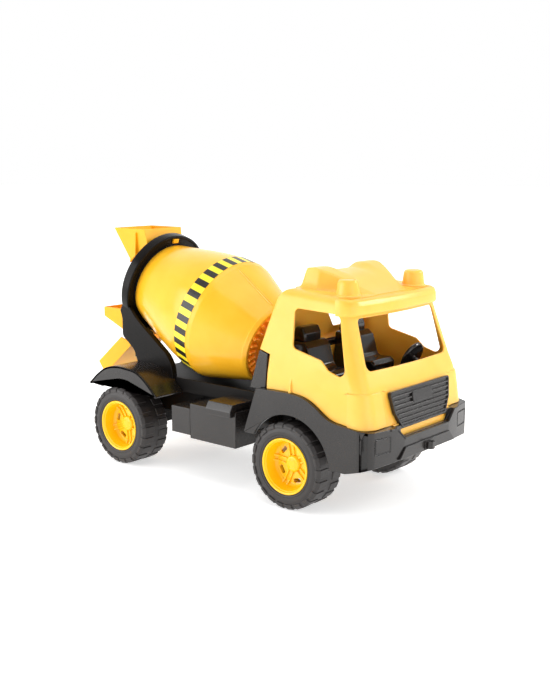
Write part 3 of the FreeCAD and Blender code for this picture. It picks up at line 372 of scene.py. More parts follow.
def flowing(points: Sequence[Corner], steps: int = 6) -> Outline:
    """Run one smooth curve through a row of places.

    Args:
        points: The places (u, v) that the curve passes.
        steps: The number of chords between two places.

    Returns:
        The curve's points, with both ends.
    """
    row = [Vector(p[:2]) for p in points]
    row = [2 * row[0] - row[1], *row, 2 * row[-1] - row[-2]]
    curve: Outline = []
    for a, b, c, d in zip(row, row[1:], row[2:], row[3:]):
        for k in range(steps):
            t = k / steps
            curve.append(tuple(0.5 * (2 * b + (c - a) * t + (2 * a - 5 * b + 4 * c - d) * t * t
                                      + (3 * b - 3 * c + d - a) * t ** 3)))
    curve.append(tuple(row[-2]))
    return curve


def beside(path: Outline, gap: float) -> Outline:
    """Run a second line beside a path.

    Args:
        path: The first line's points.
        gap: The distance, to the left of the way the path runs.

    Returns:
        The second line's points.
    """
    moved: Outline = []
    for i, point in enumerate(path):
        along = (Vector(path[min(i + 1, len(path) - 1)]) - Vector(path[max(i - 1, 0)])).normalized()
        moved.append((point[0] - along.y * gap, point[1] + along.x * gap))
    return moved


def mirrored(half: Sequence[Corner]) -> list[Corner]:
    """Complete an outline from its half on the positive side of the first axis."""
    return [*half, *((-corner[0], *corner[1:]) for corner in reversed(half))]


def rectangle(left: float, right: float, low: float, high: float, radius: float = 0.0) -> list[Corner]:
    """Give the four corners of a rectangle, each with the same rounding."""
    return [(left, low, radius), (right, low, radius), (right, high, radius), (left, high, radius)]


# ---------------------------------------------------------------- meshes


def new_object(name: str, mesh: bpy.types.Mesh) -> bpy.types.Object:
    """Wrap a mesh in an object and put it into the scene.

    Args:
        name: The object's name.
        mesh: Its mesh.

    Returns:
        The new object.
    """
    thing = bpy.data.objects.new(name, mesh)
    bpy.context.scene.collection.objects.link(thing)
    return thing


def from_bmesh(name: str, bm: bmesh.types.BMesh) -> bpy.types.Object:
    """Turn a closed bmesh into an object with its faces outwards.

    Args:
        name: The object's name.
        bm: The mesh in metres, freed here.

    Returns:
        The new object.
    """
    bmesh.ops.remove_doubles(bm, verts=bm.verts, dist=POINT_WELD)
    bmesh.ops.recalc_face_normals(bm, faces=bm.faces)
    mesh = bpy.data.meshes.new(name)
    bm.to_mesh(mesh)
    bm.free()
    return new_object(name, mesh)


def prism(name: str, outline: Sequence[Corner], plane: Plane, low: float, high: float) -> bpy.types.Object:
    """Extrude a closed outline between two heights.

    Args:
        name: The object's name.
        outline: The outline's places, rounded where they have a radius.
        plane: The plane of the outline.
        low: The lower height along the third axis.
        high: The higher height along the third axis.

    Returns:
        The solid.
    """
    first, second, third = plane.value
    bm = bmesh.new()
    rings = []
    for height in (low, high):
        ring = []
        for u, v in rounded(outline):
            place = [0.0, 0.0, 0.0]
            place[first], place[second], place[third] = u * MM, v * MM, height * MM
            ring.append(bm.verts.new(place))
        rings.append(ring)
    fill_rings(bm, rings)
    return from_bmesh(name, bm)


def fill_rings(bm: bmesh.types.BMesh, rings: Sequence[Sequence[bmesh.types.BMVert]]) -> None:
    """Skin a row of equal rings with quads and close both ends.

    Args:
        bm: The mesh that holds the rings.
        rings: The rings in order, each with the same number of vertices.
    """
    for ring, above in zip(rings, rings[1:]):
        for i in range(len(ring)):
            bm.faces.new((ring[i - 1], ring[i], above[i], above[i - 1]))
    bm.faces.new(list(reversed(rings[0])))
    bm.faces.new(rings[-1])


def lofted(name: str, sections: Sequence[Sequence[Vector]]) -> bpy.types.Object:
    """Skin a row of closed sections into one solid.

    Args:
        name: The object's name.
        sections: The sections in order, each with the same number of places in millimetres.

    Returns:
        The solid.
    """
    bm = bmesh.new()
    fill_rings(bm, [[bm.verts.new(point * MM) for point in section] for section in sections])
    return from_bmesh(name, bm)


def turned(name: str, profile: Sequence[Corner], place: Matrix, steps: int = 96) -> bpy.types.Object:
    """Turn a closed profile about the local Z axis.

    Args:
        name: The object's name.
        profile: Places (radius, height), rounded where they have a third number.
        place: The frame, in millimetres, whose Z axis is the turning axis.
        steps: The number of facets round the axis.

    Returns:
        The solid.
    """
    bm = bmesh.new()
    rows = []
    for radius, height in rounded(profile, 4):
        count = 1 if radius < 1e-6 else steps
        rows.append([bm.verts.new(place @ Vector((radius * math.cos(k * math.tau / steps),
                                                  radius * math.sin(k * math.tau / steps), height)) * MM)
                     for k in range(count)])
    for row, after in zip(rows, rows[1:] + rows[:1]):
        for k in range(steps):
            corners = [row[k % len(row)], row[(k + 1) % len(row)],
                       after[(k + 1) % len(after)], after[k % len(after)]]
            corners = list(dict.fromkeys(corners))
            if len(corners) > 2:
                bm.faces.new(corners)
    return from_bmesh(name, bm)


def across(name: str, outline: Sequence[Corner]) -> bpy.types.Object:
    """Extrude an outline in side view past both sides of the truck."""
    return prism(name, outline, Plane.XZ, -PAST_SIDES, PAST_SIDES)


def spun(place: Matrix, degrees: float) -> Matrix:
    """Turn a frame about its own Z axis."""
    return place @ Matrix.Rotation(math.radians(degrees), 4, "Z")


def clean(bm: bmesh.types.BMesh) -> None:
    """Merge the corners and the flat faces that a cut or a copy left split."""
    bmesh.ops.remove_doubles(bm, verts=bm.verts, dist=CUT_WELD)
    bmesh.ops.dissolve_limit(bm, angle_limit=FLAT_BEND, verts=bm.verts, edges=bm.edges)


def settle(thing: bpy.types.Object) -> bpy.types.Object:
    """Turn an object's modifiers into its plain mesh.

    Args:
        thing: The object with live modifiers.

    Returns:
        The same object.
    """
    graph = bpy.context.evaluated_depsgraph_get()
    graph.update()
    mesh = bpy.data.meshes.new_from_object(thing.evaluated_get(graph), preserve_all_data_layers=True,
                                           depsgraph=graph)
    thing.modifiers.clear()
    thing.data = mesh
    return thing


def combine(thing: bpy.types.Object, how: Cut, *tools: bpy.types.Object) -> bpy.types.Object:
    """Combine a solid with others, which are used up.

    Args:
        thing: The solid that stays.
        how: What to do with each tool.
        *tools: The other solids.

    Returns:
        The same object.
    """
    for tool in tools:
        step = thing.modifiers.new("combine", "BOOLEAN")
        step.operation, step.solver, step.object = how.value, "EXACT", tool
        settle(thing)
        bpy.data.objects.remove(tool, do_unlink=True)
    return thing


def joined(thing: bpy.types.Object, *others: bpy.types.Object) -> bpy.types.Object:
    """Put several meshes into one object without cutting them.

    Args:
        thing: The object that stays.
        *others: The objects that are used up.

    Returns:
        The same object.
    """
    bm = bmesh.new()
    for part in (thing, *others):
        bm.from_mesh(part.data)
    mesh = bpy.data.meshes.new(thing.name)
    bm.to_mesh(mesh)
    bm.free()
    for part in others:
        bpy.data.objects.remove(part, do_unlink=True)
    thing.data = mesh
    return thing


def soften(thing: bpy.types.Object, radius: float, steps: int = 2, angle: float = 32.0) -> bpy.types.Object:
    """Round every sharp edge a little and shade the rest smoothly.

    Args:
        thing: The solid.
        radius: The edge's rounding.
        steps: The number of strips in the rounding.
        angle: The smallest bend, in degrees, that counts as an edge.

    Returns:
        The same object.
    """
    bm = bmesh.new()
    bm.from_mesh(thing.data)
    clean(bm)
    bm.to_mesh(thing.data)
    bm.free()
    edge = thing.modifiers.new("edge", "BEVEL")
    edge.width, edge.segments, edge.limit_method = radius * MM, steps, "ANGLE"
    edge.angle_limit, edge.use_clamp_overlap, edge.miter_outer = math.radians(angle), False, "MITER_ARC"
    thing.data.shade_smooth()
    shade = thing.modifiers.new("shade", "WEIGHTED_NORMAL")
    shade.keep_sharp = True
    return settle(thing)


def smooth(thing: bpy.types.Object, angle: float = 35.0) -> bpy.types.Object:
    """Shade a turned or lofted piece smoothly, but keep its real edges.

    Args:
        thing: The solid.
        angle: The smallest bend, in degrees, that stays an edge.

    Returns:
        The same object.
    """
    bm = bmesh.new()
    bm.from_mesh(thing.data)
    for face in bm.faces:
        face.smooth = True
    for edge in bm.edges:
        edge.smooth = not edge.is_manifold or edge.calc_face_angle(0.0) < math.radians(angle)
    bm.to_mesh(thing.data)
    bm.free()
    return thing


def cad_copy(node: str) -> bpy.types.Object:
    """Copy a CAD node's mesh into a new solid of flat faces.

    Args:
        node: The node's name.

    Returns:
        The new object.
    """
    bm = bmesh.new()
    bm.from_mesh(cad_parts[node].data)
    clean(bm)
    return from_bmesh(node + "_moulding", bm)


# ---------------------------------------------------------------- repeats by Geometry Nodes


def new_repeat(name: str) -> tuple[bpy.types.NodeTree, dict[str, str]]:
    """Start a tree that repeats its own mesh, with the inputs that every repeat has.

    Args:
        name: The tree's name.

    Returns:
        The tree, and an empty book of its inputs' identifiers.
    """
    tree = bpy.data.node_groups.new(name, "GeometryNodeTree")
    tree.interface.new_socket("Geometry", in_out="OUTPUT", socket_type="NodeSocketGeometry")
    tree.interface.new_socket("Geometry", in_out="INPUT", socket_type="NodeSocketGeometry")
    return tree, {}


def name_inputs(tree: bpy.types.NodeTree, book: dict[str, str], kinds: dict[str, str]) -> bpy.types.Node:
    """Add a tree's named inputs and its input node.

    Args:
        tree: The tree.
        book: Gets the identifier of each input.
        kinds: The socket type of each input by name.

    Returns:
        The group's input node.
    """
    for label, kind in kinds.items():
        book[label] = tree.interface.new_socket(label, in_out="INPUT", socket_type=kind).identifier
    return add_node(tree, "NodeGroupInput")


class Ring:
    """Repeats a mesh evenly round an axis."""

    def __init__(self) -> None:
        """Build the tree: copies at the centre, each turned one step further."""
        self.tree, self.book = new_repeat("repeat_round_axis")
        given = name_inputs(self.tree, self.book, {
            "Count": "NodeSocketInt", "Axis": "NodeSocketVector", "Centre": "NodeSocketVector",
            "Material": "NodeSocketMaterial"}).outputs
        back = add_node(self.tree, "ShaderNodeVectorMath", {0: (0, 0, 0), 1: given["Centre"]},
                        operation="SUBTRACT")
        shape = add_node(self.tree, "GeometryNodeSetPosition", {"Geometry": given["Geometry"],
                                                                "Offset": back.outputs[0]})
        spots = add_node(self.tree, "GeometryNodeMeshLine", {"Count": given["Count"], "Offset": (0, 0, 0),
                                                             "Start Location": given["Centre"]})
        step = add_node(self.tree, "ShaderNodeMath", {0: math.tau, 1: given["Count"]}, operation="DIVIDE")
        index = add_node(self.tree, "GeometryNodeInputIndex")
        angle = add_node(self.tree, "ShaderNodeMath", {0: index.outputs[0], 1: step.outputs[0]},
                         operation="MULTIPLY")
        turn = add_node(self.tree, "FunctionNodeAxisAngleToRotation", {"Axis": given["Axis"],
                                                                       "Angle": angle.outputs[0]})
        copies = add_node(self.tree, "GeometryNodeInstanceOnPoints", {
            "Points": spots.outputs[0], "Instance": shape.outputs[0], "Rotation": turn.outputs[0]})
        end_repeat(self.tree, copies, given["Material"])

    def apply(self, thing: bpy.types.Object, count: int, axis: Vector, centre: Vector,
              finish: Finish) -> bpy.types.Object:
        """Repeat an object's mesh round an axis.

        Args:
            thing: The object with the first copy, in its real place.
            count: The number of copies.
            axis: The axis's direction.
            centre: A point of the axis in millimetres.
            finish: The finish of every copy.

        Returns:
            The same object.
        """
        return run_repeat(thing, self.tree, self.book, {
            "Count": count, "Axis": tuple(axis), "Centre": tuple(centre * MM), "Material": finish.material()})


class Row:
    """Repeats a mesh along a straight row."""

    def __init__(self) -> None:
        """Build the tree: copies at the points of a straight line."""
        self.tree, self.book = new_repeat("repeat_in_row")
        given = name_inputs(self.tree, self.book, {
            "Count": "NodeSocketInt", "Step": "NodeSocketVector", "Material": "NodeSocketMaterial"}).outputs
        spots = add_node(self.tree, "GeometryNodeMeshLine", {"Count": given["Count"],
                                                             "Offset": given["Step"]})
        copies = add_node(self.tree, "GeometryNodeInstanceOnPoints", {
            "Points": spots.outputs[0], "Instance": given["Geometry"]})
        end_repeat(self.tree, copies, given["Material"])

    def apply(self, thing: bpy.types.Object, count: int, step: Vector, finish: Finish) -> bpy.types.Object:
        """Repeat an object's mesh in a row.

        Args:
            thing: The object with the first copy, in its real place.
            count: The number of copies.
            step: The way from one copy to the next, in millimetres.
            finish: The finish of every copy.

        Returns:
            The same object.
        """
        return run_repeat(thing, self.tree, self.book, {
            "Count": count, "Step": tuple(step * MM), "Material": finish.material()})


def end_repeat(tree: bpy.types.NodeTree, copies: bpy.types.Node, material: bpy.types.NodeSocket) -> None:
    """Make a tree's copies real, dress them and send them out.

    Args:
        tree: The tree.
        copies: The node that makes the instances.
        material: The socket with the copies' material.
    """
    real = add_node(tree, "GeometryNodeRealizeInstances", {"Geometry": copies.outputs[0]})
    dressed = add_node(tree, "GeometryNodeSetMaterial", {"Geometry": real.outputs[0], "Material": material})
    add_node(tree, "NodeGroupOutput", {"Geometry": dressed.outputs[0]})


def run_repeat(thing: bpy.types.Object, tree: bpy.types.NodeTree, book: dict[str, str],
               values: dict[str, object]) -> bpy.types.Object:
    """Run a repeating tree on an object and keep the result as its plain mesh.

    Args:
        thing: The object with the first copy.
        tree: The repeating tree.
        book: The identifiers of the tree's inputs.
        values: The value of each input by name.

    Returns:
        The same object.
    """
    step = thing.modifiers.new("repeat", "NODES")
    step.node_group = tree
    for label, value in values.items():
        step[book[label]] = value
    return settle(thing)


# ---------------------------------------------------------------- sub-assemblies


@dataclass
class Workshop:
    """The tools that every sub-assembly shares."""

    ring: Ring
    row: Row

    def dress(self, thing: bpy.types.Object, name: str, body: str, finish: Finish,
              *replaced: str) -> bpy.types.Object:
        """Give a finished piece its name, material and body.

        Args:
            thing: The piece.
            name: The piece's name.
            body: The body it moves with.
            finish: Its finish.
            *replaced: The CAD nodes it stands for.

        Returns:
            The same object.
        """
        thing.name = thing.data.name = name
        thing.data.materials.clear()
        thing.data.materials.append(finish.material())
        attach(thing, body)
        if replaced:
            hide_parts(*replaced)
        LOG.info("%s: %d faces", name, len(thing.data.polygons))
        return thing

    def dress_copy(self, node: str, body: str, finish: Finish, radius: float) -> bpy.types.Object:
        """Stand a copy with rounded edges in for a flat-faced CAD node.

        Args:
            node: The node.
            body: Its body.
            finish: Its finish.
            radius: The rounding of its edges.

        Returns:
            The new piece.
        """
        return self.dress(soften(cad_copy(node), radius), node + "_moulding", body, finish, node)

    def repaint(self, node: str, finish: Finish) -> None:
        """Give a CAD node that stays as it is a better material.

        Args:
            node: The node.
            finish: Its finish.
        """
        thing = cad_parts[node]
        thing.data.materials.clear()
        thing.data.materials.append(finish.material())


@dataclass
class Wheel:
    """One road wheel: a blow-moulded tyre with lugs, a dished disc and a domed cap."""

    shop: Workshop
    end: str
    side: Side
    axle_x: float
    first_slot: float
    inner_y: float = 67.0
    tyre_radius: float = 50.0
    tread_radius: float = 48.8
    lug_radius: float = 49.72
    root_radius: float = 46.8
    tyre_width: float = 44.0
    rim_radius: float = 32.4
    lug_count: int = 22
    lug_half: float = 4.7
    slot_ring: float = 20.0
    slot_count: int = 5
    disc_top: float = 25.0

    @property
    def body(self) -> str:
        """The wheel's body."""
        return f"{self.end}_{self.side.hand}_wheel"

    @property
    def place(self) -> Matrix:
        """The wheel's own frame: X forward, Z outward along the axle."""
        sign = self.side.value
        return Matrix(((1, 0, 0, self.axle_x), (0, 0, sign, sign * self.inner_y),
                       (0, -sign, 0, self.tyre_radius), (0, 0, 0, 1)))

    @property
    def axle(self) -> Vector:
        """A point of the wheel's axis."""
        return Vector((self.axle_x, 0, self.tyre_radius))

    def node(self, part: str) -> str:
        """Give the name of one of the wheel's CAD nodes."""
        return f"{self.end}_{self.side.hand}_{part}"

    def round_axle(self, thing: bpy.types.Object, count: int, finish: Finish) -> bpy.types.Object:
        """Repeat a solid evenly round the axle."""
        return self.shop.ring.apply(thing, count, Vector((0, 1, 0)), self.axle, finish)

    def polar_solid(self, name: str, outline: Sequence[Corner], half: float, angle: float,
                    offset: float = 0.0) -> bpy.types.Object:
        """Stand a (radius, height) outline up as a slab of even width at an angle of the wheel.

        Args:
            name: The object's name.
            outline: Places (radius, height above the inner face).
            half: Half the slab's width.
            angle: The slab's angle in degrees, from the front.
            offset: How far the slab's middle lies beside the radius.

        Returns:
            The solid.
        """
        turn = spun(self.place, angle)
        sections = [[turn @ Vector((radius, offset + shift, height))
                     for radius, height in rounded(outline, 3)] for shift in (-half, half)]
        return lofted(name, sections)

    def build_tyre(self) -> None:
        """Build the tyre's hollow skin and its two rows of lugs."""
        wide, tread = self.tyre_width, self.tread_radius
        profile = [(self.rim_radius + 0.1, 2.0), (34.5, 0.6, 1.0), (42.0, 0.0, 4.0), (tread, 2.6, 3.0),
                   (tread, wide - 2.6, 3.0), (44.6, wide - 0.9, 1.0), (44.0, wide - 1.6, 0.5),
                   (40.0, wide - 0.5, 3.0), (36.2, wide - 0.6, 0.5), (35.7, wide - 1.3, 0.4),
                   (35.2, wide - 0.6, 0.5), (34.0, wide - 0.8, 0.8), (self.rim_radius + 0.1, wide - 2.0)]
        tyre = smooth(turned("tyre", profile, self.place, 144), 50)
        crown, root = self.lug_radius, self.root_radius
        outer = [(43.2, wide - 1.4), (44.0, wide - 0.25, 0.6), (46.6, wide - 0.3, 1.4),
                 (crown, wide - 3.4, 1.8), (crown, 26.5, 0.8), (root, 25.5), (root, wide - 3.0)]
        inner = [(45.0, 1.4), (root, 0.3, 1.0), (crown, 3.4, 1.6), (crown, 17.5, 0.8), (root, 18.5),
                 (root, 3.0)]
        middle = [(root, 19.2), (48.6, 20.0, 0.5), (48.6, 24.0, 0.5), (root, 24.8)]
        pitch = 360 / self.lug_count
        lugs = []
        for name, outline, half, angle in (("outer", outer, self.lug_half, 0),
                                           ("inner", inner, self.lug_half, pitch / 2),
                                           ("middle", middle, self.lug_half - 1.2, pitch / 4)):
            lug = soften(self.polar_solid(name, outline, half, angle), 0.7)
            lugs.append(self.round_axle(lug, self.lug_count, Finish.TYRE))
        joined(tyre, *lugs)
        node = self.node("tyre")
        self.shop.dress(tyre, node + "_treaded", self.body, Finish.TYRE, node)

    def build_disc(self) -> None:
        """Build the dished disc with five slots and, between them, five pairs of ribs."""
        top, lip = self.disc_top, self.tyre_width - 1.0
        profile = [(3.1, -6.0), (8.0, -6.0, 0.6), (8.0, top - 3), (29.4, top - 3), (29.4, 1.2, 0.5),
                   (self.rim_radius, 1.2, 0.5), (self.rim_radius, lip - 0.2, 0.6), (31.4, lip + 0.3, 0.6),
                   (30.0, lip - 0.3, 0.6), (29.2, lip - 2.4, 0.6), (28.6, lip - 2.6, 0.4),
                   (26.8, top + 2.6, 3.0), (24.0, top, 2.0), (3.1, top)]
        disc = turned("disc", profile, self.place)
        slot = rounded(rectangle(self.slot_ring - 2.5, self.slot_ring + 2.5, -5.2, 5.2, 1.7), 4)
        for k in range(self.slot_count):
            turn = spun(self.place, self.first_slot + k * 360 / self.slot_count)
            sections = [[turn @ Vector((u, v, height)) for u, v in slot] for height in (top - 6, top + 4)]
            combine(disc, Cut.TAKE_AWAY, lofted("slot", sections))
        smooth(disc, 40)
        rib = [(9.4, top - 0.6), (9.4, top + 2.2, 0.8), (22.0, top + 1.6, 3.0), (27.6, top + 4.6),
               (27.6, top - 0.6)]
        angle = self.first_slot + 180 / self.slot_count
        pair = joined(*(soften(self.polar_solid("rib", rib, 1.0, angle, offset), 0.5)
                        for offset in (-3.0, 3.0)))
        ribs = self.round_axle(pair, self.slot_count, Finish.WHEEL)
        node = self.node("rim")
        self.shop.dress(joined(disc, ribs), node + "_disc", self.body, Finish.WHEEL, node)

    def build_cap(self) -> None:
        """Build the domed cap over the axle's end."""
        top = self.disc_top
        profile = [(0.0, top - 0.2), (9.7, top - 0.2), (9.7, top + 2.4, 1.2), (8.2, top + 3.9, 2.0),
                   (5.8, top + 4.4, 0.4), (5.2, top + 4.0, 0.4), (4.4, top + 4.4, 0.4), (0.0, top + 4.5)]
        node = self.node("hub_cap")
        cap = smooth(turned("cap", profile, self.place, 64), 50)
        self.shop.dress(cap, node + "_dome", self.body, Finish.WHEEL, node)

    def build(self) -> None:
        """Build the whole wheel."""
        self.build_tyre()
        self.build_disc()
        self.build_cap()


@dataclass
class Drum:
    """The turning drum: two shells, the toothed nose and the hazard band, along a leaning axis."""

    shop: Workshop
    centre: Vector
    tilt: float = 18.0
    wall: float = 2.2
    band_rear: float = -52.0
    band_front: float = -32.0
    split: float = -42.0
    nose: float = 44.8
    nose_radius: float = 48.9
    block_count: int = 30
    tooth_count: int = 30
    seam_count: int = 2
    seam_angle: float = 14.0

    @property
    def axis(self) -> Vector:
        """The axis's direction, from the mouth to the cab."""
        lean = math.radians(self.tilt)
        return Vector((math.cos(lean), 0, -math.sin(lean)))

    @property
    def place(self) -> Matrix:
        """The drum's own frame: Z along the axis, X up, Y to the truck's right.

        Returns:
            The frame in millimetres.
        """
        across = Vector((0, -1, 0))
        up = across.cross(self.axis)
        rows = zip(up, across, self.axis, self.centre)
        return Matrix((*(tuple(row) for row in rows), (0, 0, 0, 1)))

    def round_axis(self, thing: bpy.types.Object, count: int, finish: Finish) -> bpy.types.Object:
        """Repeat a solid evenly round the drum."""
        return self.shop.ring.apply(thing, count, self.axis, self.centre, finish)

    def belly(self) -> Outline:
        """Give the outer profile from the throat to the split, as (radius, station)."""
        return flowing([(57.0, -150.0), (64.5, -120.0), (71.0, -95.0), (76.4, -70.0), (79.0, -52.0),
                        (79.6, self.split)], 5)

    def build_shells(self) -> None:
        """Build the rear and front shells, with the seam ridges of the front mould."""
        outer = [(51.0, -165.4, 0.6), (51.0, -155.0, 0.5), (55.6, -154.4, 1.2), *self.belly()]
        inner = [(radius - self.wall, station) for radius, station in reversed(self.belly())]
        rear = turned("rear", [*outer, *inner, (46.1, -152.0), (46.1, -165.4)], self.place, 160)
        self.shop.dress(smooth(rear, 40), "drum_rear_half", Body.DRUM.value, Finish.DRUM, "drum_rear_shell")
        outer = [(79.6, self.split), (80.0, -32.0, 14.0), (78.9, -25.5, 6.0), (52.2, 38.4), (52.0, 39.2, 0.4),
                 (52.6, 39.6, 0.6), (49.9, self.nose, 0.8), (self.nose_radius - 2, self.nose)]
        inner = [(76.6, -25.5, 6.0), (77.8, -32.0, 14.0), (77.4, self.split)]
        front = smooth(turned("front", [*outer, *inner], self.place, 160), 40)
        turn = spun(self.place, self.seam_angle)
        seam = [[turn @ Vector((radius, shift, station)) for shift, radius in
                 ((-2.3, base - 0.6), (-1.9, base + 0.7), (-0.8, base + 0.8), (-0.4, base + 0.15),
                  (0.4, base + 0.15), (0.8, base + 0.8), (1.9, base + 0.7), (2.3, base - 0.6))]
                for station, base in ((-23.0, 77.9), (-18.0, 75.8), (36.0, 53.2))]
        ridge = smooth(lofted("seam", seam), 60)
        ridges = self.round_axis(ridge, self.seam_count, Finish.DRUM)
        self.shop.dress(joined(front, ridges), "drum_front_half", Body.DRUM.value, Finish.DRUM,
                        "drum_front_shell")

    def build_band(self) -> None:
        """Build the yellow film of the hazard band and its black blocks."""
        foot = [(79.34, self.band_rear), (79.7, self.split), (80.02, self.band_front)]
        film = [*foot, *((radius + 0.2, station) for radius, station in reversed(foot))]
        band = smooth(turned("film", film, self.place, 160), 50)
        self.shop.dress(band, "hazard_film_band", Body.DRUM.value, Finish.FILM, "hazard_band")
        half, chords = 90 / self.block_count, 4
        sections = []
        for k in range(chords + 1):
            turn = spun(self.place, -half + 2 * half * k / chords)
            sections.append([turn @ Vector((radius + lift, 0, station)) for lift, row in
                             ((0.1, foot), (0.33, list(reversed(foot)))) for radius, station in row])
        block = smooth(lofted("block", sections), 50)
        self.round_axis(block, self.block_count, Finish.INK)
        self.shop.dress(block, "hazard_film_blocks", Body.DRUM.value, Finish.INK)

    def build_nose(self) -> None:
        """Build the nose disc with its bearing pin and crown of teeth."""
        step = self.nose
        floor, pin, tip = 42.2, 6.0, 76.0
        profile = [(0.0, floor), (46.5, floor), (46.5, step, 0.5), (34.0, step, 0.5), (33.4, step - 0.8, 0.5),
                   (20.0, step - 0.8, 0.5), (19.0, step, 0.5), (pin, step), (pin, tip, 0.8), (0.0, tip)]
        disc = smooth(turned("disc", profile, self.place), 40)
        tooth = [[self.place @ Vector((radius, sign * wide, height)) for sign, wide, height in
                  ((-1, 2.2, step - 0.5), (-1, 2.0, step + 1.4), (-1, 1.1, step + 3.0), (1, 1.1, step + 3.0),
                   (1, 2.0, step + 1.4), (1, 2.2, step - 0.5))] for radius in (36.0, 46.0)]
        teeth = self.round_axis(soften(lofted("tooth", tooth), 0.4), self.tooth_count, Finish.GEAR)
        # The nose takes the orange that paints the shade of the gap behind the cab.
        self.shop.dress(joined(disc, teeth), "drum_nose_gear", Body.DRUM.value, Finish.GEAR, "drum_nose_cap")

    def build(self) -> None:
        """Build the whole drum."""
        self.build_shells()
        self.build_band()
        self.build_nose()


@dataclass
class Cradle:
    """The black ring round the drum's mouth on its two legs, and the mouth's bush."""

    shop: Workshop
    drum: Drum
    rear: float = -169.1
    front: float = -154.8
    radius: float = 68.7
    leg_inner: float = 57.0
    leg_outer: float = 62.0
    flange_inner: float = 53.5
    flange_thick: float = 2.6
    foot_inner: float = 54.5
    foot_outer: float = 58.0

    FRONT_EDGE: ClassVar[tuple[Corner, ...]] = (
        (-84.4, 113.0), (-86.6, 127.5), (-94.5, 140.0), (-107.0, 150.0), (-121.0, 160.0), (-136.5, 171.3))

    def leg_outline(self) -> Outline:
        """Give the leg's flowing outline in side view.

        Returns:
            The outline, as (X, Z).
        """
        back = flowing([(-182.0, 191.0), (-178.5, 180.0), (-178.5, 166.0), (-177.0, 156.5), (-166.0, 148.0),
                        (-156.0, 139.0), (-150.5, 125.5)])
        base = [(-145.0, 126.2), (-104.0, 123.8), (-84.0, 108.6)]
        front = flowing([*self.FRONT_EDGE, (-151.0, 182.6), (-163.5, 196.0)])
        return [*back, *base, *front, (-171.0, 203.0), (-177.0, 200.0)]

    def front_edge(self) -> Outline:
        """Give the front edge of the leg, where its flange runs."""
        return flowing(self.FRONT_EDGE)

    def build(self) -> None:
        """Build the ring with its legs, and the bush."""
        low, high, outer = self.rear, self.front, self.radius
        profile = [(52.2, low, 0.5), (outer - 2.6, low, 0.8), (outer, low + 2.0, 1.6),
                   (outer, high - 1.2, 0.8), (outer - 0.8, high, 0.8), (65.6, high, 0.6),
                   (65.0, high - 1.8, 0.6), (55.4, high - 1.8, 0.6), (54.8, high, 0.6), (52.2, high, 0.5)]
        ring = smooth(turned("ring", profile, self.drum.place, 144), 50)
        edge = self.front_edge()
        strip = [*edge, *reversed(beside(edge, self.flange_thick))]
        foot = rectangle(-150.0, -84.0, 101.5, 118.0)
        foot[3] = (-150.0, 130.0)
        parts = []
        for side in Side:
            leg = prism("leg", self.leg_outline(), Plane.XZ, *side.span(self.leg_inner, self.leg_outer))
            flange = prism("flange", strip, Plane.XZ, *side.span(self.flange_inner, self.leg_inner + 1))
            base = prism("foot", foot, Plane.XZ, *side.span(self.foot_inner, self.foot_outer))
            parts += [soften(leg, 1.0, 3), soften(flange, 0.8), soften(base, 0.8)]
        # The cradle takes the black with painted shade from the drum above it.
        self.shop.dress(joined(ring, *parts), "drum_cradle_frame", Body.TRUCK.value, Finish.DEEP,
                        "drum_cradle")
        bore, sleeve, flange, step, end = 43.0, 46.0, 51.9, -166.0, -152.5
        profile = [(bore, low + 0.6), (bore + 1.0, low, 0.5), (flange, low, 0.5), (flange, step, 0.4),
                   (sleeve, step), (sleeve, end, 0.5), (bore, end, 0.5)]
        bush = smooth(turned("bush", profile, self.drum.place), 40)
        self.shop.dress(bush, "mouth_bush_ring", Body.TRUCK.value, Finish.BLACK, "mouth_bush")


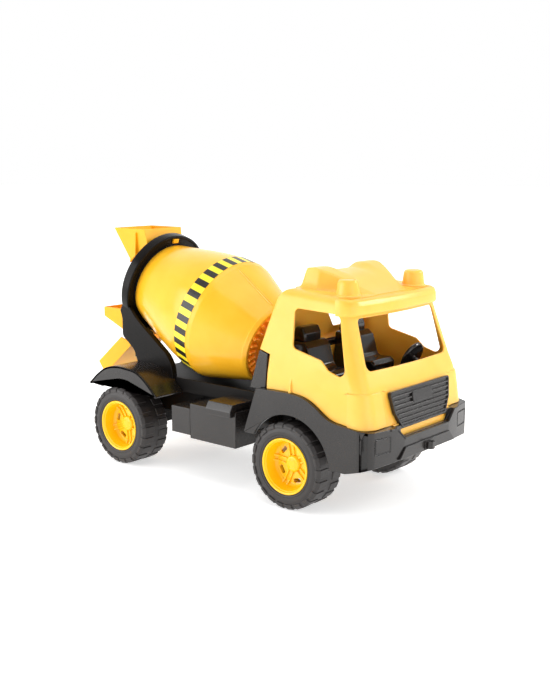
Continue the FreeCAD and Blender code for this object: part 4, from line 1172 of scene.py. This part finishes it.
@dataclass
class Cab:
    """The thin yellow cab with its brow, roof deflector, beacons and grille."""

    shop: Workshop
    wall: float = 2.5
    half: float = 99.0
    roof_half: float = 88.6
    belt: float = 150.0
    roof: float = 247.0
    roof_slope: float = 0.07
    roof_rear: float = 119.0
    roof_round: float = 11.0
    front_round: float = 17.0
    rear_round: float = 5.0
    front_least: float = 2.0
    rear_least: float = 1.0
    bow: float = 5.0
    bow_steps: int = 9
    slope_from: float = 222.0
    slope_over: float = 14.0
    roof_steps: int = 5
    fronts: tuple[Corner, ...] = ((96.0, 251.6), (104.3, 250.6), (141.0, 244.6), (152.0, 240.8),
                                  (163.0, 236.0), (221.0, 216.6), (250.0, 214.0))
    rears: tuple[Corner, ...] = ((96.0, 103.3), (131.5, 103.3), (171.8, 106.5), (176.0, 91.4),
                                 (232.0, 110.4), (250.0, 121.0))

    def along(self, table: Sequence[Corner], height: float) -> float:
        """Read a table of (height, X) at a height, in straight lines.

        Args:
            table: The places in rising order.
            height: The height.

        Returns:
            The X there.
        """
        for (low, start), (high, end) in zip(table, table[1:]):
            if height <= high:
                return start + (end - start) * (height - low) / (high - low)
        return table[-1][1]

    def half_at(self, height: float) -> float:
        """Give half the cab's width at a height."""
        share = max(0.0, (height - self.belt) / (self.roof - self.belt))
        return self.half + (self.roof_half - self.half) * share

    def section(self, height: float, inset: float) -> list[Vector]:
        """Give one level section of the cab, a rectangle with round corners and a bowed front.

        Args:
            height: The section's height before the roof's slope.
            inset: The distance inside the outer skin.

        Returns:
            The section's points.
        """
        rear = self.along(self.rears, height) + inset
        front = self.along(self.fronts, height) - inset
        half = self.half_at(height) - inset
        front_round = max(self.front_least, self.front_round - inset)
        rear_round = max(self.rear_least, self.rear_round - inset)
        corners = [(rear, -half, rear_round), (front - self.bow, -half, front_round),
                   (front - self.bow, half, front_round), (rear, half, rear_round)]
        ring = rounded(corners)
        edge = max(y for x, y in ring if x > front - self.bow - SAME_PLACE)
        bowed = []
        for x, y in ring:
            bowed.append((x, y))
            if x > front - self.bow - SAME_PLACE and abs(y + edge) < SAME_PLACE:
                for k in range(1, self.bow_steps):
                    over = -edge + 2 * edge * k / self.bow_steps
                    bowed.append((x + self.bow * (1 - (over / edge) ** 2), over))
        drop = min(1.0, max(0.0, (height - self.slope_from) / self.slope_over))
        return [Vector((x, y, height - self.roof_slope * drop * max(0.0, x - self.roof_rear)))
                for x, y in bowed]

    def hull(self, name: str, inset: float, floor: float, ledge: float) -> bpy.types.Object:
        """Skin the cab's outside, or its inside at a distance from it.

        Args:
            name: The solid's name.
            inset: The distance inside the outer skin.
            floor: The lowest section's height.
            ledge: How far the two heights of the rear ledge are raised.

        Returns:
            The solid.
        """
        heights = [floor, 131.5, 141.0, self.belt, 163.0, 171.8 + ledge, 176.0 + ledge, 210.0,
                   self.slope_from]
        sections = [self.section(height, inset) for height in heights]
        round_off = self.roof_round - inset
        top = self.roof - inset
        for k in range(self.roof_steps + 1):
            angle = math.radians(90 * k / self.roof_steps)
            sections.append(self.section(top - round_off * (1 - math.sin(angle)),
                                         inset + round_off * (1 - math.cos(angle))))
        return lofted(name, sections)

    def windows(self) -> list[bpy.types.Object]:
        """Give the solids that cut the side windows, the windshield and the rear window.

        Returns:
            The three cutters.
        """
        side = [(139.7, 226.5, 6), (200.3, 224.3, 8), (213.8, 163.5, 7), (207.2, 158.6, 6), (191.1, 163.6, 6),
                (180.5, 173.5, 7), (140.8, 182.5, 6)]
        shield = mirrored([(80.0, 164.5, 7.0), (74.0, 219.5, 5.0)])
        rear = [(62.0, 187.0, 4), (37.0, 187.0, 4), (17.0, 207.0, 4), (17.0, 226.0, 4), (62.0, 226.0, 4)]
        return [across("side", side), prism("shield", shield, Plane.YZ, 175, 262),
                prism("rear", rear, Plane.YZ, 80, 125)]

    def fender_line(self) -> Outline:
        """Give the smooth line where the cab stands on the fender."""
        return flowing([(84.0, 129.8), (94.4, 131.2), (108.0, 132.2), (123.0, 132.6), (140.0, 132.6),
                        (156.0, 131.2), (168.0, 127.6), (179.0, 121.8), (188.0, 115.6), (197.0, 110.8),
                        (208.0, 108.2), (237.0, 105.2), (262.0, 103.8)], 4)

    def build_shell(self) -> None:
        """Build the cab's shell with its windows, gussets and corner panels."""
        shell = self.hull("cab", 0.0, 98.0, 0.0)
        combine(shell, Cut.TAKE_AWAY, self.hull("space", self.wall, 94.0, 2.4))
        below = [*self.fender_line(), (262.0, 90.0), (84.0, 90.0)]
        combine(shell, Cut.TAKE_AWAY, *self.windows(), across("below", below))
        soften(shell, 0.7, 2, 38)
        extras = []
        for side in Side:
            sign = side.value
            rib = [(sign * 97.5, 132.0), (sign * 101.6, 132.6, 0.5), (sign * 101.2, 142.0, 1.0),
                   (sign * 97.5, 153.0)]
            extras.append(soften(prism("gusset", rib, Plane.YZ, 139.6, 142.6), 0.5))
            extras.append(self.corner_panel(sign))
        apron = prism("apron", mirrored([(58.0, 105.6), (45.0, 88.0, 2.0)]), Plane.YZ, 247.9, 250.4)
        extras.append(soften(apron, 0.4))
        self.shop.dress(joined(shell, *extras), "cab_moulding", Body.TRUCK.value, Finish.CAB, "cab_shell")

    def corner_panel(self, sign: int) -> bpy.types.Object:
        """Build the raised panel that wraps one lower front corner.

        Args:
            sign: The side's sign.

        Returns:
            The panel.
        """
        edge_y, edge_x, thick = 66.0, 219.0, 3.0
        behind_x, pivot_x, pivot_y = 205.0, 200.0, 60.0
        sections = []
        for height, lift in ((105.0, 1.5), (140.0, 1.5), (142.6, 1.3), (143.4, 0.2), (143.5, -1.0)):
            ring = [p for p in self.section(height, -lift) if p.y * sign > edge_y and p.x > behind_x]
            ring.sort(key=lambda p: math.atan2(p.y * sign - pivot_y, p.x - pivot_x))
            inner = [Vector((p.x - thick, p.y - sign * thick, p.z)) for p in reversed(ring)]
            front_end = Vector((ring[0].x, sign * edge_y, ring[0].z))
            rear_end = Vector((edge_x, ring[-1].y, ring[-1].z))
            sections.append([front_end, *ring, rear_end, Vector((edge_x, inner[0].y, ring[-1].z)), *inner,
                             Vector((inner[-1].x, sign * edge_y, ring[0].z))])
        return soften(lofted("corner_panel", sections), 0.5)

    def build_brow(self) -> None:
        """Build the thick rounded brow over the windshield."""
        profile = [(-6.0, 237.0), (-2.0, 240.8, 3.0), (3.4, 238.6, 4.0), (5.6, 233.0, 4.0), (5.9, 224.6, 1.6),
                   (4.6, 222.4, 1.2), (-3.0, 222.6, 1.0), (-6.0, 226.0)]
        outline = rounded(profile, 5)
        level, behind_x, pivot_x, end_x = 230.0, 197.0, 150.0, 194.5
        fade_from, fade_over, fade_power = 196.0, 14.0, 1.5
        base = [p for p in self.section(level, 0.0) if p.x > behind_x]
        base.sort(key=lambda p: math.atan2(p.y, p.x - pivot_x))
        first, last = base[0].copy(), base[-1].copy()
        first.x = last.x = end_x
        path = [first, *base, last]
        sections = []
        for i, spot in enumerate(path):
            along = path[min(i + 1, len(path) - 1)] - path[max(i - 1, 0)]
            out = Vector((along.y, -along.x, 0)).normalized()
            ends = min(1.0, max(0.0, (spot.x - fade_from) / fade_over)) ** fade_power
            sections.append([Vector((spot.x + out.x * reach * (ends if reach > 0 else 1),
                                     spot.y + out.y * reach * (ends if reach > 0 else 1), height))
                             for reach, height in outline])
        self.shop.dress(smooth(lofted("brow", sections), 60), "cab_brow", Body.TRUCK.value, Finish.CAB)

    def build_beacons(self) -> None:
        """Build the two tapered beacons on the roof's front corners."""
        profile = [(0.0, 236.0), (14.6, 236.0), (14.8, 242.4), (13.1, 243.6, 1.5), (11.3, 257.0, 2.0),
                   (9.6, 259.4, 2.0), (8.8, 259.6, 0.5), (8.2, 259.0, 0.5), (0.0, 259.4)]
        for side in Side:
            place = Matrix.Translation((193.0, side.value * 65.0, 0.0))
            beacon = smooth(turned("beacon", profile, place, 48), 50)
            node = f"beacon_{side.hand}"
            self.shop.dress(beacon, node + "_lamp", Body.TRUCK.value, Finish.CAB, node)

    def build_grille(self) -> None:
        """Build the black grille: a plate with a raised rim, louvres and a blank badge."""
        lean = math.atan2(250.6 - 244.6, 141.0 - 104.3)
        place = Matrix.Translation((250.9, 0, 104.3)) @ Matrix.Rotation(-lean, 4, "Y")

        def slab(name: str, outline: Sequence[Corner], low: float, high: float) -> bpy.types.Object:
            """Lay an outline of (Y, height up the front) on the cab's front between two depths."""
            return lofted(name, [[place @ Vector((depth, y, up)) for y, up in rounded(outline, 4)]
                                 for depth in (low, high)])
        shape = mirrored([(45.0, -3.4, 4.0), (56.0, 14.0, 5.0), (61.0, 37.6, 3.0)])
        inner = mirrored([(43.2, -1.6, 3.0), (53.9, 14.4, 4.0), (58.6, 35.6, 2.0)])
        plate = slab("plate", shape, -1.8, 2.6)
        combine(plate, Cut.TAKE_AWAY, slab("field", inner, 1.0, 5.0))
        soften(plate, 0.45)
        louvre = [[place @ Vector((depth, y, up)) for depth, up in
                   ((0.4, -0.9), (2.3, -0.5), (2.9, 0.4), (2.6, 1.3), (0.4, 2.4))] for y in (-60.0, 60.0)]
        bars = self.shop.row.apply(soften(lofted("louvre", louvre), 0.3), 7,
                                   place.to_3x3() @ Vector((0, 0, 5.1)), Finish.BLACK)
        combine(bars, Cut.KEEP_COMMON, slab("limit", inner, -1.0, 6.0))
        badge = soften(slab("badge", rectangle(-20.0, 20.0, 19.5, 32.5, 3.0), 0.5, 3.6), 0.7, 3)
        grille = joined(plate, smooth(bars, 30), badge)
        self.shop.dress(grille, "grille_louvres", Body.TRUCK.value, Finish.BLACK, "grille")

    def build(self) -> None:
        """Build the whole cab."""
        self.build_shell()
        self.build_brow()
        Deflector(self.shop, self).build()
        self.build_beacons()
        self.build_grille()


def ease(value: float, start: float, end: float) -> float:
    """Rise smoothly from 0 at start to 1 at end."""
    t = min(1.0, max(0.0, (value - start) / (end - start)))
    return t * t * (3 - 2 * t)


@dataclass
class Deflector:
    """The sheet on the roof: two humps at the rear, a shallow valley and a slope to the front."""

    shop: Workshop
    cab: Cab
    rear: float = 122.0
    front: float = 206.5
    half: float = 67.0
    foot: float = 238.5
    sunk: float = 0.4
    crest: float = 268.4
    crest_x: float = 142.0
    crown: float = 0.9
    crown_run: float = 16.0
    rise: tuple[float, float] = (123.5, 132.0)
    fall: tuple[float, float] = (140.0, 213.0)
    valley: float = 5.6
    valley_power: int = 3
    humps: tuple[float, float] = (16.0, 36.0)
    shoulder: float = 66.0
    shoulder_run: float = 8.0
    taper: float = 32.0
    taper_from: float = 150.0
    taper_over: float = 58.0
    rows: int = 56
    columns: int = 60

    def height(self, x: float, y: float) -> float:
        """Give the height of the skin.

        Args:
            x: The place along the truck.
            y: The place across the truck.

        Returns:
            The height there.
        """
        base = self.cab.roof - self.cab.roof_slope * (x - self.cab.roof_rear) - self.sunk
        crest = self.crest - self.crown * ease(abs(x - self.crest_x), 0, self.crown_run)
        fall = 1.0 - ease(x, *self.fall)
        span = self.shoulder - self.taper * max(0.0, (x - self.taper_from) / self.taper_over)
        valley = self.valley * (1 - ease(abs(y), *self.humps)) * fall ** self.valley_power
        shoulder = 1.0 - ease(abs(y), span - self.shoulder_run, span)
        return base + max(0.0, (crest - valley - base) * fall * ease(x, *self.rise) * shoulder)

    def build(self) -> None:
        """Build the skin as a grid, and close it down into the roof."""
        bm = bmesh.new()
        grid = []
        for i in range(self.rows + 1):
            x = self.rear + (self.front - self.rear) * i / self.rows
            grid.append([bm.verts.new(Vector((x, y, self.height(x, y))) * MM)
                         for y in (-self.half + 2 * self.half * k / self.columns
                                   for k in range(self.columns + 1))])
        for row, after in zip(grid, grid[1:]):
            for k in range(self.columns):
                bm.faces.new((row[k], after[k], after[k + 1], row[k + 1]))
        skirt = bmesh.ops.extrude_edge_only(bm, edges=[e for e in bm.edges if e.is_boundary])
        for vert in (v for v in skirt["geom"] if isinstance(v, bmesh.types.BMVert)):
            vert.co.z = self.foot * MM
        bmesh.ops.contextual_create(bm, geom=[e for e in bm.edges if e.is_boundary])
        deflector = smooth(from_bmesh("deflector", bm), 60)
        self.shop.dress(deflector, "roof_deflector_skin", Body.TRUCK.value, Finish.CAB, "roof_deflector")


@dataclass
class Interior:
    """What shows through the windows: seats, dashboard, steering wheel and the walls behind."""

    shop: Workshop
    seat_inner: float = 22.0
    seat_outer: float = 66.0
    head_inset: float = 6.0
    wheel_spot: Place = (206.0, 45.0, 160.0)
    wheel_lean: float = 25.0

    def build(self) -> None:
        """Build the interior."""
        cushion = [(108.0, 135.0), (167.0, 135.0, 3.0), (170.5, 148.0, 5.0), (165.0, 153.2, 5.0),
                   (146.0, 152.6, 8.0), (138.5, 178.0, 4.0), (131.0, 183.6, 4.0), (110.5, 183.6, 3.0)]
        rest = [(111.5, 181.0), (129.5, 181.0), (129.6, 192.0, 4.0), (125.8, 199.6, 4.0), (114.5, 199.6, 4.0),
                (112.0, 190.0, 4.0)]
        for side in Side:
            low, high = side.span(self.seat_inner, self.seat_outer)
            seat = soften(prism("seat", cushion, Plane.XZ, low, high), 3.2, 4, 40)
            head = soften(prism("head", rest, Plane.XZ, low + self.head_inset, high - self.head_inset),
                          3.4, 4, 40)
            node = f"seat_{side.hand}"
            self.shop.dress(joined(seat, head), node + "_glossy", Body.TRUCK.value, Finish.GLOSS, node)
        dash = [(214.4, 135.0), (214.4, 156.5, 3.0), (221.0, 160.6, 6.0), (230.6, 159.6, 3.0), (237.4, 142.0),
                (234.6, 135.0)]
        board = soften(prism("dash", dash, Plane.XZ, -80.0, 80.0), 1.6, 3)
        self.shop.dress(board, "dashboard_glossy", Body.TRUCK.value, Finish.GLOSS, "dashboard")
        lean = (Matrix.Translation(self.wheel_spot)
                @ Matrix.Rotation(math.radians(self.wheel_lean - 90.0), 4, "Y"))
        profile = [(0.0, -13.5), (3.0, -13.5), (3.0, -2.4, 1.0), (18.0, -2.4, 1.6), (19.9, 0.2, 1.6),
                   (17.6, 2.3, 1.6), (15.6, 1.6, 1.0), (5.6, 2.0, 1.0), (4.0, 2.5, 1.0), (0.0, 2.5)]
        wheel = smooth(turned("steering", profile, lean, 64), 50)
        self.shop.dress(wheel, "steering_wheel_disc", Body.TRUCK.value, Finish.GLOSS, "steering_wheel")
        for node in ("cab_bulkhead", "cab_floor"):
            self.shop.dress_copy(node, Body.TRUCK.value, Finish.BLACK, 0.8)


@dataclass
class Fender:
    """The one-piece front fender and bumper, its lamp panels, and the towing eye."""

    shop: Workshop
    cab: Cab
    half: float = 104.0
    wall: float = 4.5
    arch: float = 57.5
    arch_x: float = 141.0
    arch_z: float = 50.0
    arch_steps: int = 96

    def plan(self, inset: float = 0.0) -> list[Corner]:
        """Give the fender's plan as (X, Y) corners, with round front corners.

        Args:
            inset: The distance inside the outer skin.

        Returns:
            The closed plan.
        """
        left = [(70.0, self.half - inset), (236.0 - inset, self.half - inset, 9.0),
                (250.6 - inset, 98.0 - inset, 8.0), (255.4 - inset, 68.0, 12.0), (257.6 - inset, 46.0, 12.0)]
        return [*left, *((x, -y, *rest) for x, y, *rest in reversed(left))]

    def build(self) -> None:
        """Build the fender and the towing eye."""
        top = self.cab.fender_line()
        front = [(264.0, 103.8), (264.0, 69.0), (257.6, 67.2, 2.0), (239.0, 61.0, 8.0), (219.3, 55.6, 3.0),
                 (96.0, 55.6), (75.0, 60.0)]
        rear = [(75.0, 77.5, 1.0), (93.6, 131.2, 1.0)]
        side = across("side", [*[p for p in top if p[0] > 95.0], *front, *rear])
        shell = combine(prism("plan", self.plan(), Plane.XY, 50, 140), Cut.KEEP_COMMON, side)
        ceiling = beside([p for p in top if p[0] > 90.0], -self.wall)
        hollow = [*ceiling, (262.0, 99.0), (262.0, 40.0), (70.0, 40.0), (81.0, 77.5)]
        space = combine(across("space", hollow), Cut.KEEP_COMMON,
                        prism("space_plan", self.plan(self.wall), Plane.XY, 30, 140))
        arch = [(self.arch_x + self.arch * math.cos(a), self.arch_z + self.arch * math.sin(a))
                for a in (math.tau * k / self.arch_steps for k in range(self.arch_steps))]
        behind = rectangle(60.0, 96.0, 40.0, 77.5)
        combine(shell, Cut.TAKE_AWAY, space, across("arch", arch), across("behind", behind))
        notch = [(44.8, 90.7, 2.0), (58.4, 103.1, 2.0), (60.0, 112.0), (-60.0, 112.0), (-58.4, 103.1, 2.0),
                 (-44.8, 90.7, 2.0)]
        combine(shell, Cut.TAKE_AWAY, prism("notch", notch, Plane.YZ, 253.0, 270.0))
        for sign in (-1, 1):
            self.lamp(shell, sign)
        soften(shell, 0.6, 2, 36)
        chin = mirrored([(59.0, 67.8, 2.0), (54.0, 71.8, 2.0), (46.0, 80.6, 2.0)])
        chin = soften(prism("chin", chin, Plane.YZ, 255.0, 259.5), 0.8, 3)
        bridge = soften(prism("bridge", rectangle(-43.0, 43.0, 86.0, 92.0, 1.0), Plane.YZ, 251.0, 256.2), 0.6)
        lip = [(70.0, 104.2), (59.6, 104.0, 3.0), (45.6, 91.3, 2.0), (-45.6, 91.3, 2.0), (-59.6, 104.0, 3.0),
               (-70.0, 104.2), (-70.0, 101.6), (-58.8, 101.6, 3.0), (-44.6, 88.6, 2.0), (44.6, 88.6, 2.0),
               (58.8, 101.6, 3.0), (70.0, 101.6)]
        bead = combine(prism("bead", lip, Plane.YZ, 250.0, 262.0), Cut.KEEP_COMMON,
                       prism("bead_plan", self.plan(-1.1), Plane.XY, 80, 110))
        combine(bead, Cut.TAKE_AWAY, prism("bead_core", self.plan(1.5), Plane.XY, 70, 120))
        soften(bead, 0.5)
        self.shop.dress(joined(shell, chin, bridge, bead), "front_fender_moulding", Body.TRUCK.value,
                        Finish.BLACK, "front_fender")
        self.build_tow_eye()

    def lamp(self, shell: bpy.types.Object, sign: int) -> None:
        """Cut the grooves of one headlamp: a front panel and a smaller one round the corner.

        Args:
            shell: The fender.
            sign: The side's sign.
        """
        for name, outer, inner, plane, depth in (
                ("lamp", (69.5, 93.5, 79.2, 97.0), 1.3, Plane.YZ, (251.0, 262.0)),
                ("wrap", (238.4, 246.6, 79.7, 97.0), 1.1, Plane.XZ, (102.6, 112.0))):
            left, right, low, high = outer
            if plane is Plane.YZ and sign < 0:
                left, right = -right, -left
            bottom, top = depth if plane is Plane.YZ or sign > 0 else (-depth[1], -depth[0])
            groove = prism(name, rectangle(left, right, low, high, 2.0), plane, bottom, top)
            core = rectangle(left + inner, right - inner, low + inner, high - inner, 1.4)
            combine(groove, Cut.TAKE_AWAY, prism("core", core, plane, bottom - 1, top + 1))
            shallow = prism("skin", self.plan(1.1 if plane is Plane.YZ else 1.0), Plane.XY, 60, 120)
            combine(groove, Cut.TAKE_AWAY, shallow)
            combine(shell, Cut.TAKE_AWAY, groove)

    def build_tow_eye(self) -> None:
        """Build the towing eye, a faceted block with a hole for a pull string."""
        block = prism("eye", [(258.5, -4.6), (262.4, -5.0, 1.5), (266.4, -2.6, 1.2), (266.4, 2.6, 1.2),
                              (262.4, 5.0, 1.5), (258.5, 4.6)], Plane.XY, 69.6, 78.2)
        hole = turned("hole", [(0.0, 60.0), (1.9, 60.0), (1.9, 90.0), (0.0, 90.0)],
                      Matrix.Translation((262.9, 0, 0)), 24)
        combine(block, Cut.TAKE_AWAY, hole)
        base = soften(prism("base", rectangle(-8.0, 8.0, 69.0, 80.0, 1.5), Plane.YZ, 259.0, 260.5), 0.4)
        self.shop.dress(joined(soften(block, 0.5), base), "tow_eye_block", Body.TRUCK.value, Finish.BLACK,
                        "tow_eye")


@dataclass
class Mudguard:
    """One rear mudguard: an arched plate with a valance and two moulded pockets."""

    shop: Workshop
    side: Side
    inner: float = 58.0
    outer: float = 106.0
    wall: float = 3.2
    valance_thick: float = 2.8
    web_thick: float = 2.5
    pocket_wide: float = 7.0

    def build(self) -> None:
        """Build the mudguard."""
        side = self.side
        crown = flowing([(-196.0, 98.6), (-181.0, 111.5), (-164.5, 121.8), (-145.0, 126.6), (-124.0, 126.6),
                         (-104.0, 123.6), (-86.0, 112.6), (-69.0, 96.8)], 5)
        band = prism("band", [*crown, *reversed(beside(crown, -self.wall))], Plane.XZ,
                     *side.span(self.inner, self.outer))
        pockets = []
        for near in (63.5, 74.5):
            mouth = rectangle(*side.span(near, near + self.pocket_wide), 0.0, 6.5, 0.8)
            spot = prism("pocket", mouth, Plane.YZ, -2.0, 1.2)
            lean = Matrix.Rotation(math.radians(-48.0), 4, "Y")
            spot.data.transform(Matrix.Translation((-84.2 * MM, 0, 104.4 * MM)) @ lean)
            pockets.append(spot)
        combine(band, Cut.TAKE_AWAY, *pockets)
        valley = flowing([(-92.0, 96.6), (-104.0, 104.2), (-117.0, 109.3), (-130.0, 111.0), (-144.0, 109.6),
                          (-157.0, 104.6), (-170.0, 96.4)], 5)
        valance = prism("valance", [*crown, (-69.0, 96.6), *valley, (-196.0, 98.4)], Plane.XZ,
                        *side.span(self.outer - self.valance_thick, self.outer))
        web = prism("web", [(-150.0, 98.0), (-84.0, 98.0), (-84.0, 108.4), (-104.0, 122.0), (-145.0, 125.0),
                            (-150.0, 123.8)], Plane.XZ, *side.span(self.inner, self.inner + self.web_thick))
        guard = joined(soften(band, 0.7), soften(valance, 0.7), soften(web, 0.5))
        node = f"rear_mudguard_{self.side.hand}"
        self.shop.dress(guard, node + "_moulding", Body.TRUCK.value, Finish.BLACK, node)


@dataclass
class Loading:
    """The filling hopper, the collector below the mouth and the swinging chute."""

    shop: Workshop
    drum: Drum
    rib_inner: float = 28.0
    rib_outer: float = 36.0

    def build(self) -> None:
        """Build the loading gear."""
        hopper = soften(cad_copy("hopper"), 0.5)
        rib = [(-190.0, 252.0), (-178.0, 262.0, 1.0), (-176.6, 292.0, 1.0), (-179.2, 292.0, 1.0)]
        ribs = [soften(prism("rib", rib, Plane.XZ, *side.span(self.rib_inner, self.rib_outer)), 0.4)
                for side in Side]
        tab = [[self.drum.place @ Vector((radius, shift, height)) for radius, height in
                rounded([(58.6, -157.2), (58.6, -154.3, 0.6), (64.4, -154.0, 0.8), (64.4, -157.2)], 3)]
               for shift in (-4.6, 4.6)]
        ribs.append(soften(lofted("tab", tab), 0.5))
        self.shop.dress(joined(hopper, *ribs), "hopper_moulding", Body.TRUCK.value, Finish.CHUTE, "hopper")
        self.shop.dress_copy("collector", Body.TRUCK.value, Finish.CHUTE, 0.6)
        self.shop.dress_copy("chute", Body.CHUTE.value, Finish.CHUTE, 0.7)
        self.shop.repaint("chute_pin", Finish.BLACK)
        self.shop.dress_copy("chute_bracket", Body.TRUCK.value, Finish.BLACK, 0.6)


@dataclass
class Chassis:
    """The chassis with its boxes, steps and steel parts."""

    shop: Workshop

    def build(self) -> None:
        """Build the chassis."""
        # The chassis frame takes the rough black with painted shade of its deep well.
        self.shop.dress_copy("chassis_frame", Body.TRUCK.value, Finish.DULL, 0.7)
        self.shop.dress_copy("drum_front_bearing", Body.TRUCK.value, Finish.BLACK, 0.5)
        for side in Side:
            for name, radius in (("battery_box", 0.8), ("tool_box", 0.8), ("step_plate", 0.9)):
                self.shop.dress_copy(f"{name}_{side.hand}", Body.TRUCK.value, Finish.BLACK, radius)
        for node in ("front_axle", "rear_axle"):
            self.shop.repaint(node, Finish.AXLE)
        for node in ("axle_lock_washers", "chassis_screws"):
            self.shop.repaint(node, Finish.ZINC)


@dataclass
class Studio:
    """A pale floor, soft lights and the camera."""

    camera_spot: Place = (828.3, -940.9, 382.6)
    target: Place = (35.0, 0.0, 154.1)
    lens: float = 51.73
    floor_half: float = 14.0
    floor_glow: float = 0.55
    lamp_target: Place = (0, 0, 0.14)

    # Each lamp's name, its place and side in metres, and its power in watts.
    LAMPS: ClassVar[tuple[tuple[str, Place, float, float], ...]] = (
        ("key", (-1.0, -1.5, 0.65), 1.4, 20.0),
        ("front", (1.35, 1.4, 1.15), 0.6, 17.0),
        ("low_front", (1.9, -0.3, 0.6), 1.2, 6.0),
        ("top", (0.3, -0.1, 1.9), 1.6, 12.0),
        ("back", (-1.6, 1.2, 1.1), 1.8, 4.0))
    # The level direction of the white side of the wall, and how high the white rises elsewhere.
    WHITE_SIDE: ClassVar[Place] = (-0.66, 0.75, 0.0)
    WHITE_HEIGHT: ClassVar[float] = 0.4

    def build(self) -> None:
        """Build the floor, the lights and the camera."""
        self.floor()
        self.sky()
        for lamp in self.LAMPS:
            self.lamp(*lamp)
        bpy.context.scene.view_settings.view_transform = "Standard"
        data = bpy.data.cameras.new("camera")
        data.lens, data.sensor_width = self.lens, 36.0
        data.clip_start, data.clip_end = 0.05, 50.0
        camera = bpy.data.objects.new("camera", data)
        bpy.context.scene.collection.objects.link(camera)
        spot, target = Vector(self.camera_spot), Vector(self.target)
        camera.location = spot * MM
        camera.rotation_mode = "QUATERNION"
        camera.rotation_quaternion = (target - spot).to_track_quat("-Z", "Y")
        bpy.context.scene.camera = camera

    def sky(self) -> None:
        """Surround the truck with a white wall that is dimmer high up on the near side."""
        world = bpy.data.worlds.new("studio")
        bpy.context.scene.world = world
        world.use_nodes = True
        tree = world.node_tree
        towards = add_node(tree, "ShaderNodeTexCoord").outputs["Generated"]
        far = add_node(tree, "ShaderNodeVectorMath", {0: towards, 1: self.WHITE_SIDE},
                       operation="DOT_PRODUCT")
        behind = add_node(tree, "ShaderNodeMapRange", {"Value": far.outputs["Value"], "From Min": -0.3,
                                                       "From Max": 0.5})
        height = add_node(tree, "ShaderNodeSeparateXYZ", {0: towards}).outputs["Z"]
        low = add_node(tree, "ShaderNodeMapRange", {"Value": height, "From Min": 0.0,
                                                    "From Max": self.WHITE_HEIGHT,
                                                    "To Min": 1.0, "To Max": 0.0})
        share = add_node(tree, "ShaderNodeMath", {0: behind.outputs["Result"], 1: low.outputs["Result"]},
                         operation="MAXIMUM")
        shade = add_node(tree, "ShaderNodeMix", {0: share.outputs["Value"], 6: linear("#B4B4B6"),
                                                 7: linear("#FFFFFF")}, data_type="RGBA")
        tree.links.new(shade.outputs[2], tree.nodes["Background"].inputs["Color"])

    def floor(self) -> None:
        """Lay the pale floor, lit a little from below so that it runs into the wall."""
        bm = bmesh.new()
        bmesh.ops.create_grid(bm, x_segments=2, y_segments=2, size=self.floor_half)
        floor = from_bmesh("floor", bm)
        material, tree, shader = blank_material("paper_white")
        place = add_node(tree, "ShaderNodeTexCoord").outputs["Object"]
        fibre = add_node(tree, "ShaderNodeTexNoise", {"Vector": place, "Scale": 30.0, "Detail": 3.0})
        tint = add_node(tree, "ShaderNodeMix", {0: fibre.outputs["Fac"], 6: linear("#F6F5F3"),
                                                7: linear("#F1F0EE")}, data_type="RGBA")
        tree.links.new(tint.outputs[2], shader.inputs["Base Color"])
        shader.inputs["Roughness"].default_value = 0.8
        shader.inputs["Emission Color"].default_value = linear("#FFFFFF")
        shader.inputs["Emission Strength"].default_value = self.floor_glow
        floor.data.materials.append(material)

    def lamp(self, name: str, spot: tuple[float, float, float], size: float, power: float) -> None:
        """Hang one soft square light that faces the truck.

        Args:
            name: The light's name.
            spot: Its place in metres.
            size: Its side in metres.
            power: Its power in watts.
        """
        data = bpy.data.lights.new(name, "AREA")
        data.shape, data.size, data.energy = "SQUARE", size, power
        light = bpy.data.objects.new(name, data)
        bpy.context.scene.collection.objects.link(light)
        light.location = spot
        light.rotation_mode = "QUATERNION"
        light.rotation_quaternion = (Vector(self.lamp_target) - Vector(spot)).to_track_quat("-Z", "Y")


def main() -> None:
    """Build every sub-assembly in order."""
    logging.basicConfig(level=logging.INFO, format="%(name)s: %(message)s")
    shop = Workshop(Ring(), Row())
    Studio().build()
    for end, first_slot in (("front", 138.0), ("rear", 92.0)):
        low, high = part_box(f"{end}_right_tyre")
        axle_x = (low.x + high.x) / 2 / MM
        for side in Side:
            Wheel(shop, end, side, axle_x, first_slot).build()
    drum = Drum(shop, Vector((-9.0, 0.0, 174.4)))
    cab = Cab(shop)
    parts = [drum, Cradle(shop, drum), cab, Interior(shop), Fender(shop, cab), Loading(shop, drum),
             Chassis(shop)]
    parts += [Mudguard(shop, side) for side in Side]
    for part in parts:
        part.build()


if __name__ == "__main__":
    main()
